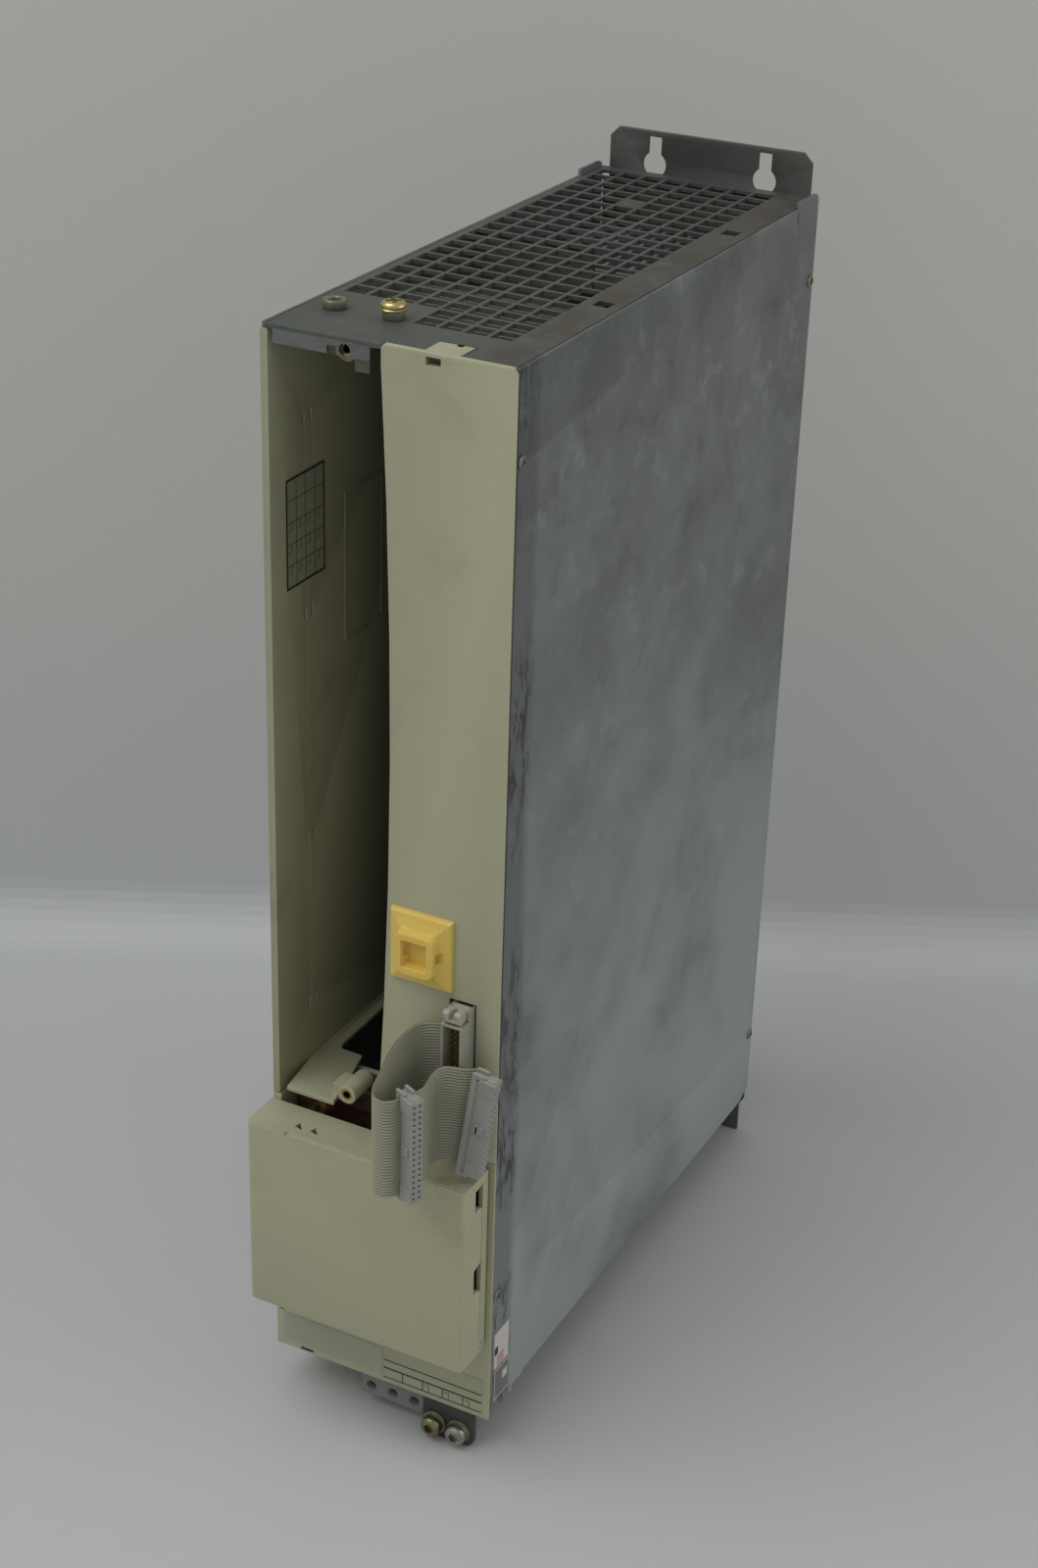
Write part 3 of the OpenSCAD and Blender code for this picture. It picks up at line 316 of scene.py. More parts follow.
def zinc_sheet(name, colour, band=None, rust=None, painted_table_light=None, rough=(0.42, 0.66), metal=0.75, contrast=1.0, seed=0.0):
    """Rolled zinc-coated sheet: cloudy patches, upright smears, small crystals, white specks and worn edges.
    bloom is a stretch down Z, in metres, over which painted light, standing for light thrown up from the table, makes
    the sheet lighter towards the bottom.
    band is a stretch along Y, in metres, with dark scuffs; rust is a place along X past which brown creeps in."""
    material, n, shader = start_material(name)
    spot = n.place(shift=(seed, seed, seed * 0.4))
    cloud = n.noise(spot, 9.0, 10.0, 0.62, 0.25)
    smear = n.noise(n.place(scale=(1, 26, 6), shift=(seed, seed, 0)), 1.0, 7.0, 0.66, 0.3)
    crystal = n.add("ShaderNodeTexVoronoi", {"Vector": spot, "Scale": 420.0, "Randomness": 1.0}, out="Color")
    flake = n.add("ShaderNodeSeparateColor", {0: crystal}, out=0)
    light, dark = shaded(colour, 1 + 0.24 * contrast), shaded(colour, 1 - 0.24 * contrast)
    tone = n.mix(n.between(cloud, 0.34, 0.66), dark, light)
    tone = n.mix(n.math("MULTIPLY", n.between(smear, 0.5, 0.72), 0.20 * contrast), tone, shaded(colour, 0.70))
    tone = n.mix(n.math("MULTIPLY", flake, 0.06), tone, shaded(colour, 1.6))
    speck = effect(n, "Grime", {"Vector": spot, "Scale": 16.0}, "Speckle")
    tone = n.mix(n.math("MULTIPLY", speck, 0.22), tone, shaded(colour, 2.0))
    mottle = n.noise(spot, 55.0, 8.0, 0.7, 0.6)
    tone = n.mix(n.math("MULTIPLY", n.between(mottle, 0.52, 0.70), 0.55 * contrast), tone, shaded(colour, 1.7))
    tone = n.mix(n.math("MULTIPLY", n.between(mottle, 0.48, 0.28), 0.55 * contrast), tone, shaded(colour, 0.6))
    if painted_table_light:
        # Painted light: lighter towards the bottom, broken up by the cloudy patches, for the light the table throws
        # onto the side.
        z = n.add("ShaderNodeSeparateXYZ", {0: n.place()}, out="Z")
        painted_light = n.math("MULTIPLY", n.between(z, *painted_table_light), n.between(cloud, 0.15, 0.6))
        tone = n.mix(painted_light, tone, shaded(colour, 2.3))
    if band:
        y = n.add("ShaderNodeSeparateXYZ", {0: n.place()}, out="Y")
        inside = n.math("MULTIPLY", n.between(y, band[0], band[0] + 0.003), n.between(y, band[1], band[1] - 0.008))
        scuff = effect(n, "Grime", {"Vector": n.place(scale=(1, 3.2, 1)), "Scale": 90.0, "Low": 0.47, "High": 0.60}, "Mask")
        wide = n.noise(n.place(scale=(1, 1, 0.6)), 21.0, 3.0)
        tone = n.mix(n.math("MULTIPLY", inside, 0.45), tone, shaded(colour, 0.55))
        scuff = n.math("MULTIPLY", n.math("MULTIPLY", inside, scuff), n.between(wide, 0.35, 0.6))
        tone = n.mix(n.math("MULTIPLY", scuff, 0.85), tone, shaded(colour, 0.30))
    if rust is not None:
        x = n.add("ShaderNodeSeparateXYZ", {0: n.place()}, out="X")
        creep = n.math("MULTIPLY", n.between(x, rust, rust + 0.008),
                       effect(n, "Grime", {"Vector": spot, "Scale": 60.0, "Low": 0.42, "High": 0.62}, "Mask"))
        tone = n.mix(n.math("MULTIPLY", creep, 0.55), tone, (0.095, 0.058, 0.036, 1))
    edge = effect(n, "Edge Wear", {"Vector": spot, "Width": 0.0007}, "Mask")
    tone = n.mix(n.math("MULTIPLY", edge, 0.55), tone, shaded(colour, 1.9))
    n.set(shader.inputs["Base Color"], tone)
    shader.inputs["Metallic"].default_value = metal
    n.set(shader.inputs["Roughness"], n.between(cloud, 0.3, 0.7, rough[0], rough[1]))
    grain = effect(n, "Grain", {"Vector": spot, "Size": 900.0, "Waviness": 5.0}, "Height")
    n.set(shader.inputs["Normal"], n.add("ShaderNodeBump", {"Height": grain, "Strength": 0.10, "Distance": 0.0006}))
    return material


def plated(name, colour, metal=1.0, rough=(0.22, 0.45), stain=0.5, seed=0.0):
    """Small metal pieces: plating with dull stains and bright rubbed edges."""
    material, n, shader = start_material(name, Metallic=metal)
    spot = n.place(shift=(seed, 0, seed))
    dull = effect(n, "Grime", {"Vector": spot, "Scale": 240.0, "Low": 0.4, "High": 0.7}, "Mask")
    tone = n.mix(n.math("MULTIPLY", dull, stain), list(colour), shaded(colour, 0.42))
    edge = effect(n, "Edge Wear", {"Vector": spot, "Width": 0.0003, "Breakup": 500.0}, "Mask")
    tone = n.mix(n.math("MULTIPLY", edge, 0.6), tone, shaded(colour, 1.5))
    n.set(shader.inputs["Base Color"], tone)
    n.set(shader.inputs["Roughness"], n.between(dull, 0, 1, rough[0], rough[1]))
    grain = effect(n, "Grain", {"Vector": spot, "Size": 5000.0, "Waviness": 300.0}, "Height")
    n.set(shader.inputs["Normal"], n.add("ShaderNodeBump", {"Height": grain, "Strength": 0.08, "Distance": 0.0001}))
    return material


MATERIALS = {}


def make_materials():
    """Every finish of the drive, by the record's material slot."""
    f = bpy.context.scene.drive_finish
    m = MATERIALS
    back = FRONT
    m["galvanised"] = zinc_sheet("Galvanised Side", f.steel, band=(back, back + 0.021), painted_table_light=(0.45, 0.03))
    m["dark_steel"] = zinc_sheet("Weathered Top", f.dark_steel, rust=0.030, metal=0.55, contrast=0.7, seed=3.1)
    m["beige_plastic"] = moulded("Moulded Front", f.plastic)
    # Painted shade for the slot: a darker base colour and a darkening with depth, both standing for the shade inside
    # it.
    m["slot_plastic"] = moulded("Slot Plastic", f.plastic_inside, grime=0.5, seed=1.7,
                                 deep=(FRONT + 0.03, FRONT + 0.11))
    # Painted shade: the vent under the top grille is the same beige plastic as the front, given a dark olive copy of
    # its colour for the shade there.
    m["olive_plastic"] = moulded("Vent Plastic Painted Shade", (0.17, 0.16, 0.10, 1), grime=0.6, wear=0.2, seed=4.2)
    m["steel_screw"] = plated("Zinc Screw", (0.36, 0.36, 0.33, 1))
    m["yellow_zinc"] = plated("Yellow Zinc Screw", (0.66, 0.55, 0.26, 1), stain=0.35)
    m["dull_screw"] = plated("Dull Screw", (0.30, 0.27, 0.15, 1), rough=(0.32, 0.5), seed=2.0)
    m["grey_screw"] = plated("Grey Screw", (0.40, 0.41, 0.36, 1), rough=(0.3, 0.5), seed=2.6)
    m["olive_spacer"] = plated("Olive Spacer", (0.27, 0.26, 0.19, 1), rough=(0.35, 0.55), metal=0.7, seed=3.3)
    # Painted shade: a near-black finish for strips put into narrow gaps and recesses, where only shade darkens them.
    m["gap_shade"] = moulded("Painted Gap Shade", (0.012, 0.012, 0.011, 1), grime=0.2, wear=0.0, bump=0.02, yellow=0.1, seed=3.9,
                        tint=(0.02, 0.018, 0.014, 1))
    m["brass_insert"] = plated("Brass Insert", (0.62, 0.46, 0.20, 1))
    m["connector_plastic"] = moulded("Connector Plastic", (0.50, 0.46, 0.33, 1), grime=0.3, seed=2.2)
    # The rating foil's colour is its own, set darker as painted shade for the link cover's shadow over it.
    m["label_foil"] = moulded("Rating Foil", (0.40, 0.395, 0.275, 1), grime=0.3, wear=0.1, bump=0.03,
                              rough=(0.35, 0.5), seed=5.0)
    m["label_grey"] = moulded("Switch Foil", (0.30, 0.30, 0.22, 1), grime=0.3, wear=0.1, bump=0.03, seed=5.5)
    m["label_white"] = moulded("Paper Sticker", (0.66, 0.60, 0.57, 1), grime=0.3, wear=0.2, bump=0.03, seed=6.1)
    m["sink_aluminium"] = zinc_sheet("Extruded Sink", (0.50, 0.52, 0.53, 1), metal=0.9, contrast=0.35, seed=7.0)
    m["module_plastic"] = moulded("Module Plastic", (0.04, 0.04, 0.045, 1), grime=0.6, yellow=0.1, seed=7.7,
                                  tint=(0.10, 0.09, 0.07, 1))
    m["board_green"] = moulded("Board Lacquer", (0.012, 0.045, 0.02, 1), grime=0.5, rough=(0.25, 0.4), yellow=0.2,
                               seed=8.3, tint=(0.03, 0.05, 0.02, 1))
    m["capacitor_can"] = moulded("Capacitor Sleeve", (0.03, 0.04, 0.07, 1), grime=0.3, rough=(0.2, 0.35),
                                 yellow=0.1, seed=8.9, tint=(0.05, 0.06, 0.08, 1))
    m["fan_plastic"] = moulded("Fan Plastic", (0.022, 0.022, 0.024, 1), grime=0.7, yellow=0.4, seed=9.4,
                               tint=(0.09, 0.08, 0.065, 1))
    # Copper and carrier colours are partly their own and partly darkened as painted shade for the dark gap between the
    # slot floor and the link cover.
    m["copper"] = plated("Busbar Copper", (0.30, 0.16, 0.10, 1), rough=(0.35, 0.6))
    m["carrier_plastic"] = moulded("Carrier Plastic", (0.05, 0.030, 0.024, 1), grime=0.3, yellow=0.1, seed=10.2,
                                   tint=(0.06, 0.045, 0.03, 1))
    m["transformer_core"] = zinc_sheet("Varnished Core", (0.09, 0.07, 0.045, 1), metal=0.4, seed=11.0)
    m["terminal_plastic"] = moulded("Terminal Plastic", (0.20, 0.195, 0.20, 1), grime=0.6, yellow=0.1, seed=11.6)
    m["lip_steel"] = zinc_sheet("Lip Steel", (0.19, 0.20, 0.195, 1), metal=0.6, seed=2.3)
    m["bracket_steel"] = zinc_sheet("Earth Bracket Steel", (0.070, 0.072, 0.072, 1), metal=0.6, contrast=0.6, seed=12.0)
    m["aged_nylon"] = nylon("Aged Nylon", f.nylon)
    m["header_plastic"] = moulded("Header Plastic", (0.34, 0.335, 0.30, 1), grime=0.3, seed=13.0)
    m["gold_pins"] = plated("Gold Pins", (0.72, 0.50, 0.16, 1), rough=(0.2, 0.3), stain=0.2)
    m["latch_plastic"] = moulded("Latch Plastic", (0.42, 0.41, 0.36, 1), grime=0.35, seed=13.9)
    m["ribbon_pvc"] = ribbon_material("Ribbon Sleeve", f.ribbon)
    m["plug_plastic"] = moulded("Plug Plastic", f.plug, grime=0.3, yellow=0.1, seed=14.4, tint=(0.33, 0.32, 0.27, 1))
    m["print"] = moulded("Label Print", (0.018, 0.017, 0.014, 1), grime=0.3, wear=0.0, bump=0.02, yellow=0.2,
                         seed=15.0, tint=(0.07, 0.06, 0.05, 1))
    m["left_foil"] = moulded("Left Foil", (0.385, 0.395, 0.295, 1), grime=0.2, wear=0.0, bump=0.02, yellow=0.15, seed=16.1,
                             tint=(0.45, 0.43, 0.30, 1))
    m["sticker_grey"] = moulded("Grey Sticker", (0.17, 0.17, 0.165, 1), grime=0.6, wear=0.1, bump=0.02, yellow=0.1,
                                seed=16.6, tint=(0.22, 0.21, 0.19, 1))
    m["sticker_pink"] = moulded("Sticker Tint", (0.52, 0.30, 0.30, 1), grime=0.4, wear=0.1, bump=0.02, seed=15.6,
                                tint=(0.55, 0.42, 0.38, 1))


def nylon(name, colour):
    """Translucent nylon that has turned yellow, deeper where it is thick."""
    material, n, shader = start_material(name, Subsurface_Weight=0.25, Subsurface_Scale=0.004)
    shader.inputs["Subsurface Radius"].default_value = (1.0, 0.6, 0.2)
    spot = n.place()
    aged = effect(n, "Grime", {"Vector": spot, "Scale": 60.0, "Low": 0.35, "High": 0.7}, "Mask")
    tone = n.mix(n.math("MULTIPLY", aged, 0.4), list(colour), (0.80, 0.50, 0.07, 1))
    edge = effect(n, "Edge Wear", {"Vector": spot, "Width": 0.0012, "Breakup": 60.0}, "Mask")
    tone = n.mix(n.math("MULTIPLY", edge, 0.35), tone, (0.95, 0.80, 0.34, 1))
    n.set(shader.inputs["Base Color"], tone)
    n.set(shader.inputs["Roughness"], n.between(aged, 0, 1, 0.35, 0.5))
    grain = effect(n, "Grain", {"Vector": spot, "Size": 1800.0, "Waviness": 70.0}, "Height")
    n.set(shader.inputs["Normal"], n.add("ShaderNodeBump", {"Height": grain, "Strength": 0.08, "Distance": 0.0003}))
    return material


def ribbon_material(name, colour):
    """Soft sleeve of the bus cable with dirt blotches; the grooves between the wires are darkened as painted shade."""
    material, n, shader = start_material(name)
    spot = n.place()
    groove = n.add("ShaderNodeAttribute", out="Fac", attribute_name="groove")
    dirt = effect(n, "Grime", {"Vector": spot, "Scale": 45.0, "Low": 0.4, "High": 0.75}, "Mask")
    tone = n.mix(n.math("MULTIPLY", dirt, 0.3), list(colour), shaded(colour, 0.7))
    # Painted shade: the grooves between the wires are darkened, where the creases lie in shade.
    tone = n.mix(n.math("MULTIPLY", groove, 0.85), tone, shaded(colour, 0.22))
    n.set(shader.inputs["Base Color"], tone)
    n.set(shader.inputs["Roughness"], n.between(dirt, 0, 1, 0.42, 0.6))
    grain = effect(n, "Grain", {"Vector": spot, "Size": 3000.0, "Waviness": 100.0}, "Height")
    n.set(shader.inputs["Normal"], n.add("ShaderNodeBump", {"Height": grain, "Strength": 0.06, "Distance": 0.0002}))
    return material


# ---------------------------------------------------------------- mesh helpers

def link(name, mesh, material):
    """A new object for the mesh, with one material, at the origin."""
    piece = bpy.data.objects.new(name, mesh)
    bpy.context.scene.collection.objects.link(piece)
    mesh.materials.clear()
    mesh.materials.append(MATERIALS[material])
    return piece


def smooth(mesh, degrees=32):
    """Smooth shading that breaks at edges sharper than the angle."""
    mesh.polygons.foreach_set("use_smooth", [True] * len(mesh.polygons))
    mesh.set_sharp_from_angle(angle=math.radians(degrees))
    mesh.update()


def finished(piece, slot, *replaced, body=BODY):
    """Ties a finished piece to its body and hides the nodes it stands for; its slot is not used."""
    if replaced:
        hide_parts(*replaced)
    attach(piece, body)
    return piece


def plain_mesh(piece):
    """Turns the piece's modifiers into one plain mesh."""
    graph = bpy.context.evaluated_depsgraph_get()
    mesh = bpy.data.meshes.new_from_object(piece.evaluated_get(graph))
    piece.modifiers.clear()
    old, piece.data = piece.data, mesh
    bpy.data.meshes.remove(old)
    return piece


def softened(node, slot, radius, material=None, body=BODY, steps=2, angle=28):
    """The node's own shape with its edges rounded."""
    mesh = NODES[node].data.copy()
    mesh.name = node + "_shape"
    b = bmesh.new()
    b.from_mesh(mesh)
    bmesh.ops.remove_doubles(b, verts=b.verts, dist=2e-6)
    bmesh.ops.dissolve_limit(b, angle_limit=math.radians(0.6), verts=b.verts, edges=b.edges)
    b.to_mesh(mesh)
    b.free()
    mesh.polygons.foreach_set("use_smooth", [True] * len(mesh.polygons))
    piece = link(node + "_shape", mesh, material or slot)
    bevel = piece.modifiers.new("Rounding", "BEVEL")
    bevel.width = radius
    bevel.segments = steps
    bevel.limit_method = "ANGLE"
    bevel.angle_limit = math.radians(angle)
    bevel.use_clamp_overlap = True
    bevel.harden_normals = True
    return finished(plain_mesh(piece), slot, node, body=body)


def box_faces(b, low, high):
    """Adds a closed box between two corners."""
    made = bmesh.ops.create_cube(b, size=1.0)["verts"]
    low, high = Vector(low), Vector(high)
    size = high - low
    for v in made:
        v.co = low + Vector(((v.co.x + 0.5) * size.x, (v.co.y + 0.5) * size.y, (v.co.z + 0.5) * size.z))


def bars(name, slot, material, boxes):
    """Several closed boxes as one piece, each given by two corners in millimetres on the drive."""
    b = bmesh.new()
    for low, high in boxes:
        box_faces(b, at(*low), at(*high))
    mesh = bpy.data.meshes.new(name)
    b.to_mesh(mesh)
    b.free()
    return finished(link(name, mesh, material), slot)


# ---------------------------------------------------------------- geometry nodes

def gn_tree(name, ins):
    tree = bpy.data.node_groups.new(name, "GeometryNodeTree")
    tree.interface.new_socket(name="Geometry", in_out="INPUT", socket_type="NodeSocketGeometry")
    for socket, kind in ins:
        tree.interface.new_socket(name=socket, in_out="INPUT", socket_type=kind)
    tree.interface.new_socket(name="Geometry", in_out="OUTPUT", socket_type="NodeSocketGeometry")
    return tree, tree.nodes.new("NodeGroupInput"), tree.nodes.new("NodeGroupOutput"), Net(tree)


def repeat_tree():
    """Puts a template on every point, its Z along the point's facing, turned by a random step about it."""
    tree, start, end, n = gn_tree("Repeat At Points", [
        ("Template", "NodeSocketObject"), ("Size", "NodeSocketFloat"), ("Turn", "NodeSocketFloat"),
        ("Seed", "NodeSocketInt"), ("Material", "NodeSocketMaterial")])
    facing = n.add("GeometryNodeInputNamedAttribute", {"Name": "facing"}, data_type="FLOAT_VECTOR")
    align = n.add("FunctionNodeAlignRotationToVector", {"Vector": facing}, axis="Z")
    spin = n.add("FunctionNodeRandomValue", {"Max": start.outputs["Turn"], "Seed": start.outputs["Seed"]},
                 out=1, data_type="FLOAT")
    shape = n.add("GeometryNodeObjectInfo", {"Object": start.outputs["Template"]}, out="Geometry")
    points = n.add("GeometryNodeMeshToPoints", {"Mesh": start.outputs["Geometry"]})
    placed = n.add("GeometryNodeInstanceOnPoints", {"Points": points, "Instance": shape, "Rotation": align,
                                                    "Scale": start.outputs["Size"]})
    about = n.add("ShaderNodeCombineXYZ", {"Z": spin})
    turned = n.add("GeometryNodeRotateInstances", {"Instances": placed, "Rotation": about, "Local Space": True})
    real = n.add("GeometryNodeRealizeInstances", {0: turned})
    n.set(end.inputs[0], n.add("GeometryNodeSetMaterial", {"Geometry": real, "Material": start.outputs["Material"]}))
    return tree


TREES = {}


def grown(name, mesh, tree_name, material, **inputs):
    """The mesh as the tree makes it, as a plain mesh on a new object."""
    if tree_name not in TREES:
        TREES[tree_name] = {"Repeat At Points": repeat_tree}[tree_name]()
    tree = TREES[tree_name]
    piece = link(name, mesh, material)
    grow = piece.modifiers.new(tree_name, "NODES")
    grow.node_group = tree
    inputs["Material"] = MATERIALS[material]
    for item in tree.interface.items_tree:
        if item.item_type == "SOCKET" and item.in_out == "INPUT" and item.name in inputs:
            grow[item.identifier] = inputs[item.name]
    piece.update_tag()
    bpy.context.view_layer.update()
    return plain_mesh(piece)


def points_mesh(name, places):
    """A mesh of loose points, each with the way it faces; places are in metres."""
    mesh = bpy.data.meshes.new(name)
    mesh.from_pydata([p for p, _ in places], [], [])
    facing = mesh.attributes.new("facing", "FLOAT_VECTOR", "POINT")
    facing.data.foreach_set("vector", [c for _, way in places for c in way])
    return mesh


def turned_shape(name, rings, steps=40, closed_low=True):
    """A closed turned shape; rings are (radius, height) or (function of the angle, height), from the outside in."""
    b = bmesh.new()
    loops = []
    for radius, z in rings:
        loop = []
        for i in range(steps):
            a = 2 * math.pi * i / steps
            r = radius(a) if callable(radius) else radius
            loop.append(b.verts.new((r * math.cos(a), r * math.sin(a), z)))
        loops.append(loop)
    for low, high in zip(loops, loops[1:]):
        for i in range(steps):
            j = (i + 1) % steps
            b.faces.new((low[i], low[j], high[j], high[i]))
    b.faces.new(loops[-1])
    if closed_low:
        b.faces.new(list(reversed(loops[0])))
    bmesh.ops.recalc_face_normals(b, faces=b.faces)
    mesh = bpy.data.meshes.new(name)
    b.to_mesh(mesh)
    b.free()
    smooth(mesh, 35)
    return mesh


def star(radius):
    """Six-lobed recess outline."""
    return lambda a: radius * (1 + 0.14 * math.cos(6 * a))


def cross(radius, width):
    """Cross recess outline."""
    def outline(a):
        c, s = max(abs(math.cos(a)), 1e-6), max(abs(math.sin(a)), 1e-6)
        return max(min(radius / c, width / s), min(radius / s, width / c))
    return outline


def screw_rings(head, height, recess, shank, length):
    """A pan head on a plain shank, from the shank's end to the bottom of the recess; all in millimetres."""
    rings = [(shank * 0.8, -length), (shank, -length + 0.3 * shank), (shank, 0), (head * 0.97, 0), (head, 0.12 * height),
             (head, 0.42 * height), (head * 0.93, 0.72 * height), (head * 0.78, 0.92 * height), (head * 0.6, height)]
    rings = [(r * MM, z * MM) for r, z in rings]
    return rings + [(recess, height * MM), (recess, 0.45 * height * MM)]


def template(name, rings, steps=48):
    """A shape for the repeats; it is removed once they are made."""
    piece = bpy.data.objects.new(name, turned_shape(name, rings, steps))
    bpy.context.scene.collection.objects.link(piece)
    return piece


def screws(name, slot, pattern, places, turn, seed, *replaced, material=None, body=BODY):
    """Screws of one kind, each with its own turn."""
    piece = grown(name, points_mesh(name, places), "Repeat At Points", material or slot,
                  Template=pattern, Size=1.0, Turn=turn, Seed=seed)
    bpy.data.objects.remove(pattern)
    smooth(piece.data, 35)
    return finished(piece, slot, *replaced, body=body)


# ---------------------------------------------------------------- operators

class Made(bpy.types.Operator):
    """Base of the operators of this drive."""
    bl_options = {"REGISTER", "UNDO"}


CAMERA_PLACE = (0.425086, -0.853322, 0.730628)
CAMERA_RIGHT = (0.885089, 0.464591, 0.027788)
CAMERA_DOWN = (0.234035, -0.392661, -0.889407)
CAMERA_AHEAD = (-0.402300, 0.793708, -0.456270)


class SERVO_OT_stage(Made):
    """Places the camera, the soft lights, the pale table and its backdrop."""
    bl_idname = "servo_drive.stage"
    bl_label = "Stage"

    def execute(self, context):
        s = context.scene.drive_stage
        lens = bpy.data.cameras.new("Camera")
        lens.lens = s.lens
        lens.sensor_width = 36
        lens.clip_start = 0.01
        camera = bpy.data.objects.new("Camera", lens)
        context.scene.collection.objects.link(camera)
        right, down, ahead = (Vector(v) for v in (CAMERA_RIGHT, CAMERA_DOWN, CAMERA_AHEAD))
        turn = Matrix((right, -down, -ahead)).transposed()
        camera.matrix_world = Matrix.Translation(CAMERA_PLACE) @ turn.to_4x4()
        context.scene.camera = camera
        self.table(s)
        self.lights(context, s)
        return {"FINISHED"}

    def table(self, s):
        """A pale sweep: flat under the drive, curving up into the backdrop behind it."""
        away = Vector((CAMERA_AHEAD[0], CAMERA_AHEAD[1], 0)).normalized()
        side = Vector((away.y, -away.x, 0))
        near = Vector((CAMERA_PLACE[0], CAMERA_PLACE[1], 0))
        low = CAD_BOX[0][2]
        profile = [(-3.0, 0.0), (s.table_edge - 0.03, 0.0)]
        profile += [(s.table_edge - 0.03 + 0.03 * math.sin(t), 0.03 * (1 - math.cos(t)))
                    for t in (math.pi / 2 * k / 8 for k in range(1, 9))]
        profile += [(s.table_edge, 3.0)]
        b = bmesh.new()
        rows = []
        for u, z in profile:
            middle = near + away * u + Vector((0, 0, low + z))
            rows.append([b.verts.new(middle - side * 4), b.verts.new(middle + side * 4)])
        for (a, c), (d, e) in zip(rows, rows[1:]):
            b.faces.new((a, c, e, d))
        mesh = bpy.data.meshes.new("table")
        b.to_mesh(mesh)
        b.free()
        material, n, shader = start_material("Pale Table", Roughness=0.55)
        cloud = n.noise(n.place(), 3.0, 3.0)
        floor = n.mix(cloud, (0.555, 0.570, 0.565, 1), (0.585, 0.60, 0.595, 1))
        # Painted light: the one sweep turns lighter as it rises into the backdrop, for the light falling on it there.
        height = n.add("ShaderNodeSeparateXYZ", {0: n.place()}, out="Z")
        n.set(shader.inputs["Base Color"],
              n.mix(n.between(height, low, low + 0.3), floor, (0.64, 0.635, 0.60, 1)))
        mesh.materials.append(material)
        table = bpy.data.objects.new("table", mesh)
        bpy.context.scene.collection.objects.link(table)

    def lights(self, context, s):
        world = bpy.data.worlds.new("Soft Room")
        world.use_nodes = True
        sky = world.node_tree.nodes["Background"]
        sky.inputs["Color"].default_value = (0.98, 1.0, 1.0, 1)
        sky.inputs["Strength"].default_value = s.fill
        context.scene.world = world
        for name, place, target, size, power in (
                ("Key", (-0.75, -0.9, 2.35), (0, 0, 0.2), 1.8, s.key),
                ("Right Fill", (2.3, 0.5, 1.3), (0, 0, 0.22), 1.6, s.key * 0.42)):
            lamp = bpy.data.lights.new(name, "AREA")
            lamp.energy = power
            lamp.size = size
            light = bpy.data.objects.new(name, lamp)
            context.scene.collection.objects.link(light)
            light.location = place
            light.rotation_euler = (Vector(target) - Vector(place)).to_track_quat("-Z", "Y").to_euler()
        context.scene.view_settings.view_transform = "Standard"
        context.scene.view_settings.look = "None"


ROUTE = [
    (29.7, 3.4, 165, 0), (29.7, 0.4, 165, 0), (29.7, -2.6, 165, 0), (28.2, -4.9, 165, 0),
    (25, -5.7, 164.7, 0), (21, -8.2, 164.2, 0), (18.7, -13.4, 163.3, 0), (17.8, -20.2, 162, 0),
    (18.4, -26.6, 160.9, 0), (19.8, -33, 159.8, 0), (21, -39.1, 158.6, 0), (22, -44.2, 157.4, 0),
    (24.4, -48.2, 156.4, 0), (28.2, -49, 155.6, 0), (31.249, -46.227, 155.2, 0),
    (32.4745, -43.598, 155.2, 0), (33.7, -40.97, 155.2, 0), (34.9255, -38.342, 155.2, 0),
    (36.151, -35.713, 155.2, 0), (36.5, -32.4, 155, 0), (35.4, -28.4, 154.6, 0.5),
    (34.1, -23.6, 154.2, 1), (33.4, -19, 153.8, 1.5), (34.4, -15, 153.4, 1.8), (36.9, -12.7, 152.9, 2.4),
    (39.8, -11.4, 152.5, 3.2), (42.3, -9.6, 152.4, 4.6), (44.5, -7.4, 152.3, 6), (46, -6.2, 152.2, 7),
    (46.85, -7.2, 152.1, 7.8), (46.85, -9.9, 152.1, 7.8), (46.85, -12.6, 152.1, 7.8),
    (46.85, -15.2, 152.1, 7.8)]
ROUTE_STEPS = 5


def smooth_route():
    """The cable's route as a smooth line through its points, with the lean of its edge."""
    p = np.array([ROUTE[0], *ROUTE, ROUTE[-1]], float)
    line = []
    for i in range(1, len(p) - 2):
        for k in range(ROUTE_STEPS):
            t = k / ROUTE_STEPS
            a, b, c, d = p[i - 1], p[i], p[i + 1], p[i + 2]
            line.append((2 * b + (c - a) * t + (2 * a - 5 * b + 4 * c - d) * t * t
                         + (3 * b - a - 3 * c + d) * t ** 3) / 2)
    line.append(p[-2])
    return np.array(line)


